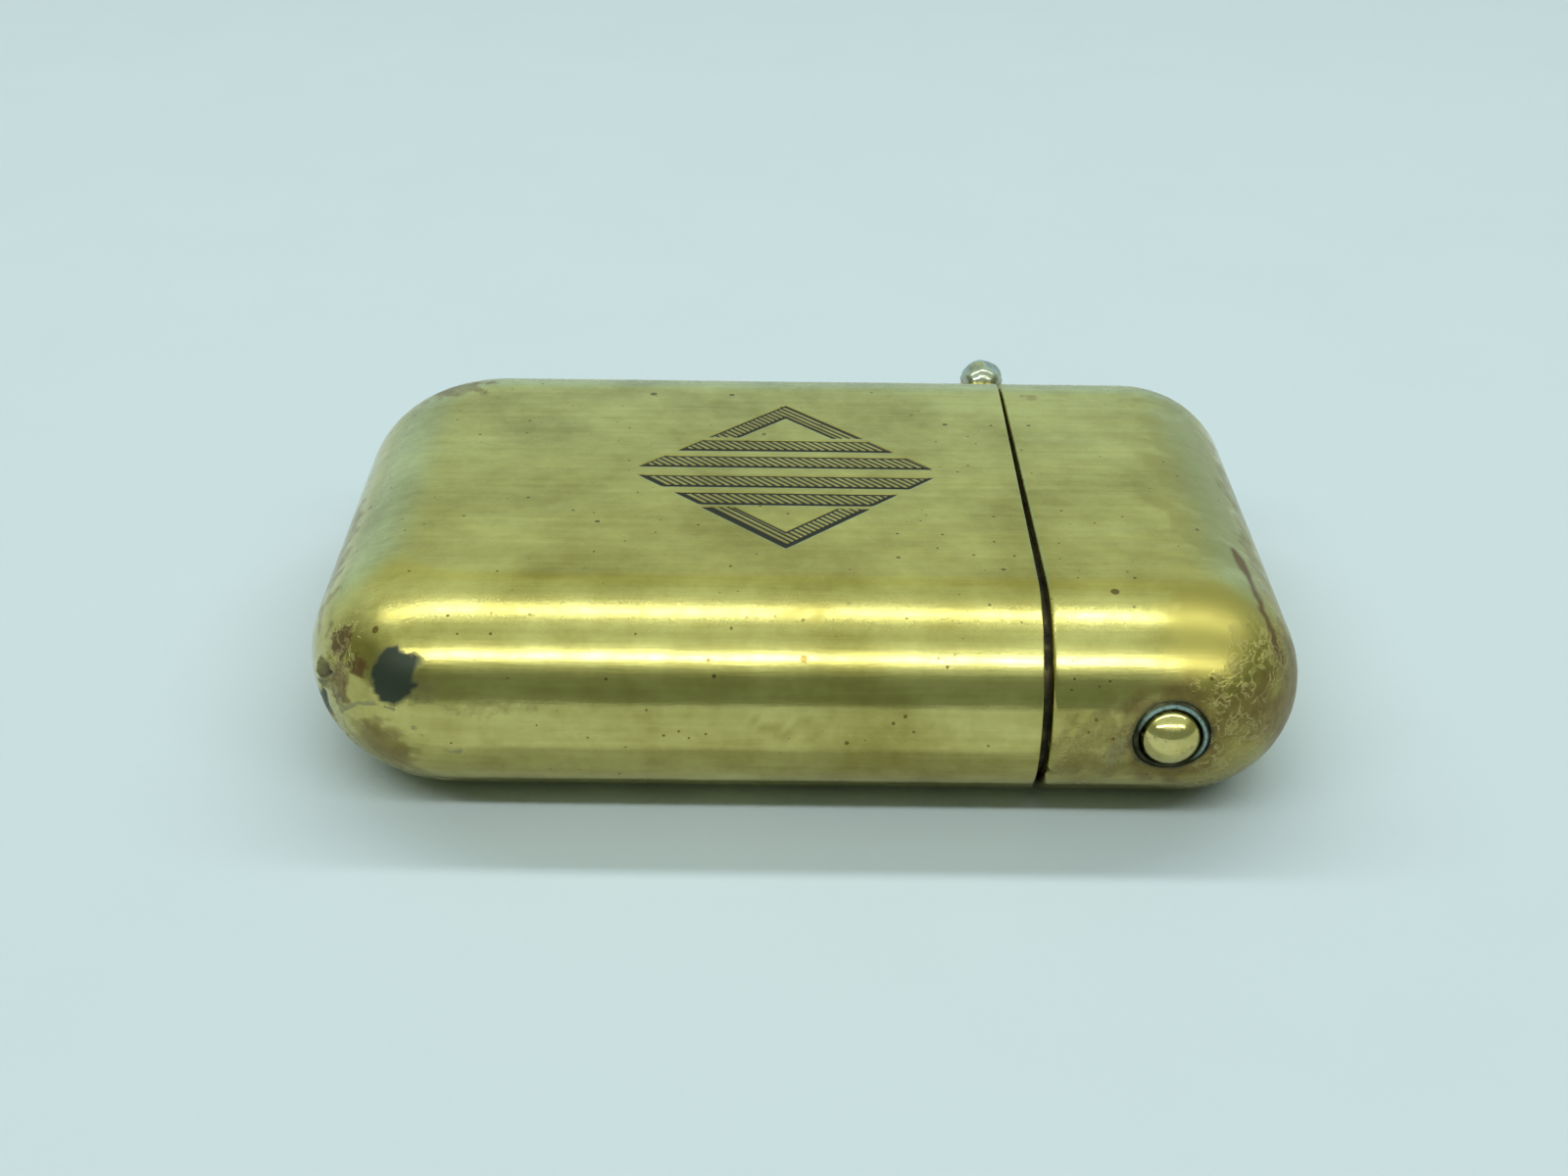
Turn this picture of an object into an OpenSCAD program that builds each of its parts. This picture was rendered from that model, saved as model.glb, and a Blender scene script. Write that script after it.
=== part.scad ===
// Pocket wick lighter in a flat, pebble-shaped brass case with a push-button lid.
// It lies on its back face: +X towards the lid, +Y the hinge side, -Y the button side, +Z up.
// The origin is the middle of the closed case's flat underside.

/* [Case] */
// Length of the closed case, end to end
case_length = 56; // [48:0.5:68]
// Width of the case, without its hinge and button
case_width = 37; // [32:0.5:45]
// Thickness of the case; its edges are full half rounds
case_thickness = 12.7; // [10.5:0.1:15.5]
// Thickness of the body's sheet
body_wall = 0.9; // [0.8:0.05:1.1]
// How far the body's corners in plan exceed its edge radius
body_corner_extra = 2.6; // [0.6:0.1:5]

/* [Lid] */
// Length of the lid along the case
lid_length = 15.1; // [14:0.1:20]
// How far the lid's corners in plan exceed its edge radius
lid_corner_extra = 0.6; // [0.3:0.1:1]
// Width of the shut line at the hinge side
shut_gap_far = 0.08; // [0.05:0.01:0.2]
// Width of the shut line at the button side
shut_gap_near = 0.45; // [0.1:0.05:0.6]

/* [Neck and deck] */
// Length of the neck inside the body
neck_seat = 5; // [3:0.5:8]
// Length of the neck inside the lid
neck_reach = 3; // [2:0.1:3.6]
// Thickness of the neck's sheet
neck_wall = 0.5; // [0.4:0.05:0.7]
// Clearance between the neck and the inside of the lid
lid_gap = 0.3; // [0.25:0.05:0.4]
// Depth of the deck below the body's mouth
deck_depth = 1; // [0.5:0.1:2]
// Thickness of the deck plate
deck_thick = 1; // [0.8:0.1:1.5]

/* [Hinge] */
// Radius of the hinge knuckles
knuckle_r = 1.4; // [1.2:0.05:1.7]
// Length of each body knuckle
body_knuckle_length = 2.5; // [2:0.05:2.7]
// Length of the lid knuckle
lid_knuckle_length = 2.3; // [2:0.05:2.6]
// Radius of the hinge pin
pin_r = 0.55; // [0.45:0.05:0.7]
// Radius of the pin's domed heads
pin_head_r = 1.45; // [1.2:0.05:1.6]
// Height of the pin's domed heads
pin_head_height = 1.3; // [0.4:0.05:1.4]
// Distance of the hinge pin from the parting line, on the body's side
hinge_back = 0.4; // [0.3:0.05:1]
// Length of the hinge lugs along the case
lug_length = 3.2; // [2.5:0.1:4]
// How much shorter than its knuckle a body lug is
lug_cut = 1.1; // [0.5:0.1:1.4]

/* [Button and catch] */
// Distance of the button's axis from the parting line
button_from_parting = 7; // [6.5:0.1:7.5]
// Radius of the button
button_r = 1.64; // [1.4:0.02:1.8]
// Height of the button's dome
dome_height = 0.75; // [0.5:0.05:0.9]
// Travel of the button
button_travel = 0.5; // [0.3:0.05:0.6]
// Outer radius of the collar that guides the button
collar_r = 2.25; // [2.1:0.05:2.5]
// How far the collar stands proud of the lid's side
collar_proud = 0.12; // [0.05:0.01:0.3]
// Thickness of the catch spring and the lid spring
leaf_thick = 0.3; // [0.2:0.05:0.35]
// Half width of the catch spring and the lid spring
leaf_half_width = 1.3; // [1:0.1:1.4]

/* [Flint gear] */
// Distance of the gear's line from the case's middle, towards the button
gear_offset = 5.5; // [5:0.1:7]
// Radius of the flint wheel over its teeth
wheel_r = 3.8; // [3:0.1:4.6]
// Width of the flint wheel
wheel_width = 3.6; // [2.4:0.1:4]
// Number of teeth on the flint wheel
wheel_teeth = 40; // [24:1:60]
// Depth of the wheel's teeth
tooth_depth = 0.22; // [0.1:0.02:0.3]
// Radius of the wheel's axle
axle_r = 0.8; // [0.6:0.05:1]
// Thickness of the bracket's cheeks and base
bracket_thick = 0.8; // [0.6:0.05:1]
// Radius of the flint
flint_r = 1.25; // [1.2:0.05:1.3]
// Length of the flint
flint_length = 4.5; // [3:0.1:5]
// Wall of the flint tube
flint_tube_wall = 0.6; // [0.4:0.05:0.8]
// Room between the flint tube and the closed end of the case
flint_tube_end_gap = 11; // [8:0.5:14]
// Length of the screw that closes the flint tube
flint_screw_length = 4; // [3:0.5:6]
// Number of coils in the flint spring
spring_coils = 22; // [14:1:24]
// Radius of the flint spring's wire
spring_wire_r = 0.16; // [0.12:0.01:0.2]

/* [Wick and fuel] */
// Distance of the wick from the case's middle, towards the hinge
wick_offset = 4; // [3.5:0.1:4.5]
// Radius of the wick
wick_r = 1.7; // [1.4:0.05:1.9]
// Wall of the wick tube
wick_tube_wall = 0.4; // [0.3:0.05:0.5]
// Height of the wick tube above the body's mouth
wick_tube_height = 5.3; // [4.5:0.1:5.6]
// Length of wick that stands out of its tube
wick_tip = 1.2; // [0.8:0.1:1.5]
// Room between the wick's end and the closed end of the case
wick_end_gap = 13; // [8:0.5:16]
// Distance of the filler screw from the case's middle, towards the button
filler_offset = 12.2; // [12:0.1:12.6]
// Radius of the filler screw's head
filler_head_r = 2.1; // [1.8:0.1:2.2]
// Radius of the filler screw's shank
filler_shank_r = 1.4; // [1.2:0.05:1.5]
// Length of the filler screw's shank
filler_shank_length = 3.6; // [3:0.1:5]

/* [Hidden] */
$fn = 96;

past = 1;                   // how far a cutter runs past the face it opens
seat_gap = 0.02;            // clearance of pieces that are soldered or pressed together
run_gap = 0.05;             // radial clearance of a shaft that turns or slides
side_gap = 0.1;             // end clearance between hinge knuckles

// Case
edge_r = case_thickness / 2;
half_w = case_width / 2;
body_length = case_length - lid_length;
parting_x = case_length / 2 - lid_length;
closed_end_x = -case_length / 2;
lid_end_x = case_length / 2;
lid_wall = body_wall - lid_gap;
neck_inset = body_wall + neck_wall;
neck_tip_x = parting_x + neck_reach;
deck_top_x = parting_x - deck_depth;
deck_under_x = deck_top_x - deck_thick;

// Hinge
knuckle_gap = 0.15;
hinge_x = parting_x - hinge_back;
hinge_y = half_w + knuckle_r + knuckle_gap;
lug_thick = knuckle_r * 0.85;
lug_top = hinge_y + lug_thick - knuckle_r;
lug_foot = 1.4;             // how far a lug reaches down the case's round side
lid_knuckle_z = edge_r - lid_knuckle_length / 2;
lower_knuckle_z = lid_knuckle_z - side_gap - body_knuckle_length;
upper_knuckle_z = lid_knuckle_z + lid_knuckle_length + side_gap;
hinge_bottom = lower_knuckle_z;
hinge_top = upper_knuckle_z + body_knuckle_length;

// Button and catch
button_x = parting_x + button_from_parting;
button_bore_r = button_r + run_gap;
collar_inner_y = -(half_w - lid_wall) + 0.55;
collar_outer_y = -half_w - collar_proud;
dome_base_y = collar_outer_y;
leaf_y = -(half_w - neck_inset) + 0.35;       // outer face of the catch spring
leaf_root_x = button_x + 4.4;
block_length = 1.6;
rivet_r = 0.4;
rivet_spread = 0.75;
tooth_x = parting_x + 1;
tooth_length = 1.1;
tooth_tip_y = -(half_w - body_wall) + 0.15;
window_gap = 0.2;
flange_thick = 0.25;

// Flint gear
gear_y = -gear_offset;
wheel_x = neck_tip_x + 2;
cheek_gap = 0.3;
cheek_inner = wheel_width / 2 + cheek_gap;
cheek_outer = cheek_inner + bracket_thick;
bracket_half = 2.6;
cheek_half = 1.9;
axle_head = 0.4;
axle_head_r = axle_r + 0.5;
flint_tip_x = wheel_x - wheel_r - run_gap;
flint_back_x = flint_tip_x - flint_length;
flint_bore_r = flint_r + run_gap;
flint_tube_r = flint_bore_r + flint_tube_wall;
flint_tube_tip_x = flint_tip_x - 0.6;
flint_tube_end_x = closed_end_x + flint_tube_end_gap;
flint_screw_tip_x = flint_tube_end_x + flint_screw_length;
spring_r = flint_r - spring_wire_r - run_gap;
bracket_base_r = bracket_half;

// Wick and fuel
wick_y = wick_offset;
wick_bore_r = wick_r + run_gap;
wick_tube_r = wick_bore_r + wick_tube_wall;
wick_tube_tip_x = parting_x + wick_tube_height;
wick_tube_end_x = deck_under_x - 1;
wick_tip_x = wick_tube_tip_x + wick_tip;
wick_end_x = closed_end_x + wick_end_gap;
wadding_gap = 0.2;
wadding_top_x = parting_x - neck_seat - 0.5;
cup_overlap = 0.6;
cup_gap = 0.6;
cup_wall = 0.45;
cup_r = wick_tube_r + cup_gap;
cup_mouth_x = wick_tube_tip_x - cup_overlap;
cup_floor_x = wick_tip_x + 0.9;
cup_stem_r = 1.1;

// Filler screw
filler_y = -filler_offset;
washer_thick = 0.4;
filler_head_thick = 0.8;
slot_width = 0.55;
slot_depth = 0.4;

// Lid spring: a foot on the deck and a leaf that leans on the lid's far wall
foot_start_y = wick_y + wick_tube_r + 2.6;
foot_end_y = half_w - neck_inset - 0.9;
leaf_tip_x = neck_tip_x - 0.3;
leaf_tip_y = half_w - lid_wall - 0.3;
foot_rivet_r = 0.6;
foot_rivet_head_r = 1;
foot_rivets = [foot_start_y + 1.4, foot_start_y + 4.2];

// Plain shapes

module block_at(x0, x1, y0, y1, z0, z1) {
    translate([x0, y0, z0]) cube([x1 - x0, y1 - y0, z1 - z0]);
}

// A block centred on the middle of the case's thickness
module mid_block(x0, x1, y0, y1, half_z) {
    block_at(x0, x1, y0, y1, edge_r - half_z, edge_r + half_z);
}

// Rods along each axis; those along X and Y lie in the middle of the thickness
module rod_x(x0, x1, y, r) {
    translate([x0, y, edge_r]) rotate([0, 90, 0]) cylinder(h = x1 - x0, r = r);
}

module rod_y(y0, y1, x, r) {
    translate([x, y0, edge_r]) rotate([-90, 0, 0]) cylinder(h = y1 - y0, r = r);
}

module rod_z(z0, z1, x, y, r) {
    translate([x, y, z0]) cylinder(h = z1 - z0, r = r);
}

// A spherical cap of base radius r, standing on z = 0
module cap(r, height) {
    ball_r = (r * r + height * height) / (2 * height);
    intersection() {
        translate([0, 0, height - ball_r]) sphere(r = ball_r);
        translate([-2 * r, -2 * r, 0]) cube([4 * r, 4 * r, 2 * height]);
    }
}

// The pebble shape of the case

module half_disc(r) {
    intersection() {
        circle(r = r);
        translate([0, -2 * r]) square([2 * r, 4 * r]);
    }
}

// Cross-section of the case, set in from its surface, across Y and Z
module stadium(inset) {
    r = edge_r - inset;
    flat = half_w - edge_r;
    union() {
        translate([-flat, -r]) square([2 * flat, 2 * r]);
        translate([flat, 0]) half_disc(r);
        mirror([1, 0]) translate([flat, 0]) half_disc(r);
    }
}

module stadium_bar(x0, x1, inset) {
    translate([x0, 0, edge_r]) rotate([90, 0, 90]) linear_extrude(x1 - x0) stadium(inset);
}

// Section through a rounded edge, from a corner's centre outwards
module edge_section(reach, r) {
    union() {
        translate([0, -r]) square([reach - r, 2 * r]);
        translate([reach - r, 0]) half_disc(r);
    }
}

// One end of the case: it is open at x = -start and closed and rounded at x = length
module pebble_end(length, corner, inset, start) {
    r = edge_r - inset;
    turn = corner - inset;
    side = half_w - corner;
    straight = length - corner;
    union() {
        stadium_bar(-start, straight, inset);
        translate([straight, side, edge_r])
            rotate([90, 0, 0]) linear_extrude(2 * side) edge_section(turn, r);
        for (flip = [0, 1])
            mirror([0, flip, 0])
                translate([straight, side, edge_r])
                    rotate_extrude(angle = 90) edge_section(turn, r);
    }
}

module body_form(inset, start) {
    translate([parting_x, 0, 0])
        mirror([1, 0, 0]) pebble_end(body_length, edge_r + body_corner_extra, inset, start);
}

module lid_form(inset, start) {
    translate([parting_x, 0, 0])
        pebble_end(lid_length, edge_r + lid_corner_extra, inset, start);
}

// What the slightly ajar shut line takes off the lid's rim
module shut_line() {
    slope = (shut_gap_near - shut_gap_far) / case_width;
    far = shut_gap_far - slope * past;
    near = shut_gap_near + slope * past;
    translate([parting_x, 0, -past])
        linear_extrude(case_thickness + 2 * past)
            polygon([
                [-past, half_w + past], [-past, -half_w - past],
                [near, -half_w - past], [far, half_w + past]
            ]);
}

// Body

module case_shell() {
    color("#a8935a")
        difference() {
            body_form(0, 0);
            body_form(body_wall, past);
        }
}

// The neck that the lid shuts over, with a window for the catch and a notch for the lid spring
module neck_collar() {
    color("#7c7466")
        difference() {
            stadium_bar(parting_x - neck_seat, neck_tip_x, body_wall);
            stadium_bar(parting_x - neck_seat - past, neck_tip_x + past, neck_inset);
            mid_block(
                tooth_x - window_gap, tooth_x + tooth_length + window_gap,
                -half_w, leaf_y, leaf_half_width + window_gap);
            mid_block(
                deck_top_x + leaf_thick, neck_tip_x + past,
                foot_end_y, half_w, leaf_half_width + window_gap);
        }
}

module deck_plate() {
    color("#b39a55")
        difference() {
            stadium_bar(deck_under_x, deck_top_x, neck_inset);
            rod_x(deck_under_x - past, deck_top_x + past, wick_y, wick_tube_r + seat_gap);
            rod_x(deck_under_x - past, deck_top_x + past, gear_y, flint_tube_r + seat_gap);
            rod_x(deck_under_x - past, deck_top_x + past, filler_y, filler_shank_r + run_gap);
            for (y = foot_rivets)
                rod_x(deck_under_x - past, deck_top_x + past, y, foot_rivet_r + seat_gap);
        }
}

module fuel_wadding() {
    color("#e8e2d2")
        difference() {
            intersection() {
                body_form(body_wall + wadding_gap, 0);
                block_at(closed_end_x, wadding_top_x, -half_w, half_w, 0, case_thickness);
            }
            rod_x(flint_tube_end_x - past, wadding_top_x + past, gear_y, flint_tube_r + wadding_gap);
            rod_x(wick_end_x - wadding_gap, wadding_top_x + past, wick_y, wick_r + wadding_gap);
        }
}

module wick_tube() {
    color("#b39a55")
        difference() {
            rod_x(wick_tube_end_x, wick_tube_tip_x, wick_y, wick_tube_r);
            rod_x(wick_tube_end_x - past, wick_tube_tip_x + past, wick_y, wick_bore_r);
        }
}

module wick() {
    color("#ded6c2") rod_x(wick_end_x, wick_tip_x, wick_y, wick_r);
}

// Flint gear

module flint_tube() {
    color("#b39a55")
        difference() {
            rod_x(flint_tube_end_x, flint_tube_tip_x, gear_y, flint_tube_r);
            rod_x(flint_tube_end_x - past, flint_tube_tip_x + past, gear_y, flint_bore_r);
        }
}

module flint() {
    color("#55534f") rod_x(flint_back_x, flint_tip_x, gear_y, flint_r);
}

// A coil of round wire along X, swept as a chain of rings
module flint_spring() {
    steps = 12;
    sides = 6;
    coil_length = flint_back_x - flint_screw_tip_x - 2 * (spring_wire_r + seat_gap);
    rings = spring_coils * steps;
    points = [
        for (i = [0:rings], k = [0:sides - 1])
            let (
                turn = 360 * i / steps,
                round_wire = 360 * k / sides,
                reach = spring_r + spring_wire_r * cos(round_wire))
            [
                coil_length * i / rings + spring_wire_r * sin(round_wire),
                reach * cos(turn),
                reach * sin(turn)
            ]
    ];
    skin = [
        for (i = [0:rings - 1], k = [0:sides - 1])
            let (next = (k + 1) % sides)
            [i * sides + k, i * sides + next, (i + 1) * sides + next, (i + 1) * sides + k]
    ];
    ends = [
        [for (k = [sides - 1:-1:0]) k],
        [for (k = [0:sides - 1]) rings * sides + k]
    ];
    color("#9a9a96")
        translate([flint_screw_tip_x + spring_wire_r + seat_gap, gear_y, edge_r])
            polyhedron(points = points, faces = concat(skin, ends));
}

module flint_screw() {
    color("#b39a55")
        difference() {
            rod_x(flint_tube_end_x, flint_screw_tip_x, gear_y, flint_bore_r - seat_gap);
            mid_block(
                flint_tube_end_x - past, flint_tube_end_x + slot_depth,
                gear_y - flint_r - past, gear_y + flint_r + past, slot_width / 2);
        }
}

// Two cheeks on a base that the flint tube comes up through
module wheel_bracket() {
    base_x = deck_top_x + bracket_thick;
    color("#a98f4e")
        difference() {
            union() {
                mid_block(deck_top_x, base_x, gear_y - bracket_half, gear_y + bracket_half, cheek_outer);
                for (side = [-1, 1])
                    translate([0, 0, edge_r + side * (cheek_inner + bracket_thick / 2)]) {
                        translate([base_x, gear_y - cheek_half, -bracket_thick / 2])
                            cube([wheel_x - base_x, 2 * cheek_half, bracket_thick]);
                        translate([wheel_x, gear_y, -bracket_thick / 2])
                            rotate(-90) rotate_extrude(angle = 180) square([cheek_half, bracket_thick]);
                    }
            }
            rod_x(deck_top_x - past, base_x + past, gear_y, flint_tube_r + seat_gap);
            rod_z(0, case_thickness, wheel_x, gear_y, axle_r + seat_gap);
        }
}

module wheel_axle() {
    color("#8f8a80")
        union() {
            rod_z(edge_r - cheek_outer, edge_r + cheek_outer, wheel_x, gear_y, axle_r);
            rod_z(edge_r + cheek_outer, edge_r + cheek_outer + axle_head, wheel_x, gear_y, axle_head_r);
            rod_z(edge_r - cheek_outer - axle_head, edge_r - cheek_outer, wheel_x, gear_y, axle_head_r);
        }
}

module flint_wheel() {
    outline = [
        for (i = [0:2 * wheel_teeth - 1])
            let (angle = 180 * i / wheel_teeth, r = wheel_r - (i % 2) * tooth_depth)
            [r * cos(angle), r * sin(angle)]
    ];
    color("#6f6d69")
        translate([wheel_x, gear_y, edge_r - wheel_width / 2])
            difference() {
                linear_extrude(wheel_width) polygon(outline);
                translate([0, 0, -past]) cylinder(h = wheel_width + 2 * past, r = axle_r + run_gap);
            }
}

// Filler

module filler_screw() {
    head_x = deck_top_x + washer_thick;
    color("#b9a160")
        difference() {
            union() {
                rod_x(head_x - filler_shank_length, head_x, filler_y, filler_shank_r);
                rod_x(head_x, head_x + filler_head_thick, filler_y, filler_head_r);
            }
            mid_block(
                head_x + filler_head_thick - slot_depth, head_x + filler_head_thick + past,
                filler_y - filler_head_r - past, filler_y + filler_head_r + past, slot_width / 2);
        }
}

module filler_washer() {
    color("#6b4a2f")
        difference() {
            rod_x(deck_top_x, deck_top_x + washer_thick, filler_y, filler_head_r);
            rod_x(deck_top_x - past, deck_top_x + washer_thick + past, filler_y, filler_shank_r + run_gap);
        }
}

// Hinge

module body_knuckles() {
    color("#8d7f5c")
        for (knuckle = [[lower_knuckle_z, lug_cut], [upper_knuckle_z, 0]]) {
            z = knuckle[0];
            lug_z = z + knuckle[1];
            difference() {
                union() {
                    rod_z(z, z + body_knuckle_length, hinge_x, hinge_y, knuckle_r);
                    block_at(
                        hinge_x - lug_length, hinge_x, half_w - lug_foot, lug_top,
                        lug_z, lug_z + body_knuckle_length - lug_cut);
                }
                body_form(0, 0);
                rod_z(z - past, z + body_knuckle_length + past, hinge_x, hinge_y, pin_r + seat_gap);
            }
        }
}

module lid_knuckle() {
    z = lid_knuckle_z;
    color("#8d7f5c")
        difference() {
            union() {
                rod_z(z, z + lid_knuckle_length, hinge_x, hinge_y, knuckle_r);
                block_at(
                    hinge_x, parting_x + lug_length,
                    half_w + knuckle_gap, lug_top, z, z + lid_knuckle_length);
                block_at(
                    parting_x + knuckle_gap + shut_gap_far, parting_x + lug_length,
                    half_w - lug_foot, half_w + knuckle_gap, z, z + lid_knuckle_length);
            }
            lid_form(0, 0);
            rod_z(z - past, z + lid_knuckle_length + past, hinge_x, hinge_y, pin_r + run_gap);
        }
}

module hinge_pin() {
    color("#c9ccca")
        union() {
            rod_z(hinge_bottom, hinge_top, hinge_x, hinge_y, pin_r);
            translate([hinge_x, hinge_y, hinge_top]) cap(pin_head_r, pin_head_height);
            translate([hinge_x, hinge_y, hinge_bottom])
                mirror([0, 0, 1]) cap(pin_head_r, pin_head_height);
        }
}

// A leaf riveted to the deck, bent up to lean on the lid's far wall
module lid_spring() {
    lean = [leaf_tip_x - deck_top_x, leaf_tip_y - foot_end_y];
    across = leaf_thick * [-lean[1], lean[0]] / norm(lean);
    color("#9a9a96")
        difference() {
            translate([0, 0, edge_r - leaf_half_width])
                linear_extrude(2 * leaf_half_width)
                    polygon([
                        [deck_top_x, foot_start_y],
                        [deck_top_x, foot_end_y],
                        [leaf_tip_x, leaf_tip_y],
                        [leaf_tip_x, leaf_tip_y] - across,
                        [deck_top_x + leaf_thick, foot_end_y - across[1]],
                        [deck_top_x + leaf_thick, foot_start_y]
                    ]);
            for (y = foot_rivets)
                rod_x(deck_top_x - past, deck_top_x + leaf_thick + past, y, foot_rivet_r + seat_gap);
        }
}

module lid_spring_rivets() {
    head_x = deck_top_x + leaf_thick;
    color("#b9a160")
        for (y = foot_rivets)
            union() {
                rod_x(deck_under_x - axle_head, head_x, y, foot_rivet_r);
                translate([head_x, y, edge_r]) rotate([0, 90, 0]) cap(foot_rivet_head_r, axle_head);
            }
}

// Lid

module lid_shell() {
    color("#a8935a")
        difference() {
            lid_form(0, 0);
            lid_form(lid_wall, past);
            shut_line();
            rod_y(-half_w - past, collar_inner_y, button_x, collar_r + seat_gap);
        }
}

// The cap that comes down over the wick tube and puts the flame out
module snuffer_cup() {
    color("#b39a55")
        difference() {
            rod_x(cup_mouth_x, cup_floor_x + cup_wall, wick_y, cup_r + cup_wall);
            rod_x(cup_mouth_x - past, cup_floor_x, wick_y, cup_r);
        }
}

module snuffer_stem() {
    color("#b39a55")
        intersection() {
            rod_x(cup_floor_x + cup_wall, lid_end_x, wick_y, cup_stem_r);
            lid_form(lid_wall, 0);
        }
}

// Button and catch

module button_collar() {
    color("#4f8f80")
        difference() {
            rod_y(collar_outer_y, collar_inner_y, button_x, collar_r);
            rod_y(collar_outer_y - past, collar_inner_y + past, button_x, button_bore_r);
        }
}

// A domed button with a flange that keeps it in its collar and a nib that presses the catch spring
module push_button() {
    flange_y = collar_inner_y + seat_gap;
    color("#caa85a")
        union() {
            rod_y(dome_base_y, flange_y, button_x, button_r);
            translate([button_x, dome_base_y, edge_r]) rotate([90, 0, 0]) cap(button_r, dome_height);
            rod_y(flange_y, flange_y + flange_thick, button_x, collar_r);
            rod_y(flange_y + flange_thick, leaf_y - seat_gap, button_x, button_r / 2);
        }
}

// A leaf fixed in the lid, with a tooth that hooks into the neck's window
module catch_spring() {
    color("#9a9a96")
        difference() {
            translate([0, 0, edge_r - leaf_half_width])
                linear_extrude(2 * leaf_half_width)
                    polygon([
                        [tooth_x, leaf_y],
                        [tooth_x, leaf_y + leaf_thick],
                        [leaf_root_x, leaf_y + leaf_thick],
                        [leaf_root_x, leaf_y],
                        [tooth_x + tooth_length, leaf_y],
                        [tooth_x + tooth_length, tooth_tip_y],
                        [tooth_x + tooth_length * 0.7, tooth_tip_y]
                    ]);
            catch_rivet_rods(rivet_r + seat_gap, leaf_y - past, leaf_y + leaf_thick + past);
        }
}

module catch_rivet_rods(r, y0, y1) {
    for (side = [-1, 1])
        translate([0, 0, side * rivet_spread])
            rod_y(y0, y1, leaf_root_x - block_length / 2, r);
}

module catch_block() {
    color("#a98f4e")
        difference() {
            intersection() {
                mid_block(
                    leaf_root_x - block_length, leaf_root_x,
                    -half_w, leaf_y, leaf_half_width);
                lid_form(lid_wall, 0);
            }
            catch_rivet_rods(rivet_r + seat_gap, -half_w, leaf_y + past);
        }
}

module catch_rivets() {
    color("#b9a160")
        intersection() {
            catch_rivet_rods(rivet_r, -half_w, leaf_y + leaf_thick + rivet_r);
            lid_form(lid_wall, 0);
        }
}

case_shell();
neck_collar();
deck_plate();
fuel_wadding();
wick_tube();
wick();
flint_tube();
flint();
flint_spring();
flint_screw();
wheel_bracket();
wheel_axle();
flint_wheel();
filler_screw();
filler_washer();
body_knuckles();
hinge_pin();
lid_spring();
lid_spring_rivets();
lid_shell();
lid_knuckle();
snuffer_cup();
snuffer_stem();
button_collar();
push_button();
catch_spring();
catch_block();
catch_rivets();
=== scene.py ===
# Pocket wick lighter in a worn, pebble-shaped brass case.
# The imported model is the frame: every piece is placed from its nodes, in metres.
# Shapes are worked out in millimetres and turned to metres when a mesh is made.
import math

import bmesh
import bpy
import numpy as np
from mathutils import Matrix, Vector


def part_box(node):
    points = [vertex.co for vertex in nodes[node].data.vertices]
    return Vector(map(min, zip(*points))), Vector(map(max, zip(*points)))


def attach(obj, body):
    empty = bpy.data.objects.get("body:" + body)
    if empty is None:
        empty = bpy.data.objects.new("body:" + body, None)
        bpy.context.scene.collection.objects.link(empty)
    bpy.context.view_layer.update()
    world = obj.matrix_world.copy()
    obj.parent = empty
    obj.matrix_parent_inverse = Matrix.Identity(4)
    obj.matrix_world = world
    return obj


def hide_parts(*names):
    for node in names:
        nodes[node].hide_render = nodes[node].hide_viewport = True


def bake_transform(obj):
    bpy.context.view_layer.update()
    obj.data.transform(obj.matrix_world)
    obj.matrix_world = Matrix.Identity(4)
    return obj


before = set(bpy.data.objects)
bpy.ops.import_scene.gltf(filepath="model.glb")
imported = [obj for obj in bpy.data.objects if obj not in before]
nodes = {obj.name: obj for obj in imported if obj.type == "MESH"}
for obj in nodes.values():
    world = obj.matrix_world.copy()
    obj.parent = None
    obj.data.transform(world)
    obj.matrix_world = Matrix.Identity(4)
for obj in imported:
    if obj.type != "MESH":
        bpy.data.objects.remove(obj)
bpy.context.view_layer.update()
scene = bpy.context.scene



def toLinear(hexColour):
    # sRGB hex to linear colour with alpha
    channels = [int(hexColour[i:i + 2], 16) / 255 for i in (1, 3, 5)]
    return [c / 12.92 if c <= 0.04045 else ((c + 0.055) / 1.055) ** 2.4 for c in channels] + [1]


def boxOf(node):
    # lowest and highest corner of a CAD node, in mm
    low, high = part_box(node)
    return np.array(low) * 1000, np.array(high) * 1000


def smooth(edgeA, edgeB, value):
    t = np.clip((value - edgeA) / (edgeB - edgeA), 0, 1)
    return t * t * (3 - 2 * t)


def waves(points, size, seed, count=16):
    # smooth, seeded noise in -1 to 1; size is the distance between bumps in mm
    rng = np.random.default_rng(seed)
    heading = rng.normal(size=(count, 3))
    heading /= np.linalg.norm(heading, axis=1, keepdims=True)
    pitch = 2 * np.pi / (size * rng.uniform(0.7, 1.4, count))
    phase = rng.uniform(0, 2 * np.pi, count)
    total = np.zeros(len(points))
    for k in range(count):
        total += np.cos(points @ heading[k] * pitch[k] + phase[k])
    return np.clip(total / math.sqrt(count) / 1.6, -1, 1)


def spot(points, centre, radius, seed, ragged=0.35, size=0.8):
    # 1 inside a patch, 0 outside, with an uneven edge
    away = np.linalg.norm((points - np.array(centre)) / np.array(radius), axis=1)
    away += ragged * waves(points, size, seed) + 0.5 * ragged * waves(points, size * 0.4, seed + 1)
    return 1 - smooth(0.75, 1.15, away)


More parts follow.
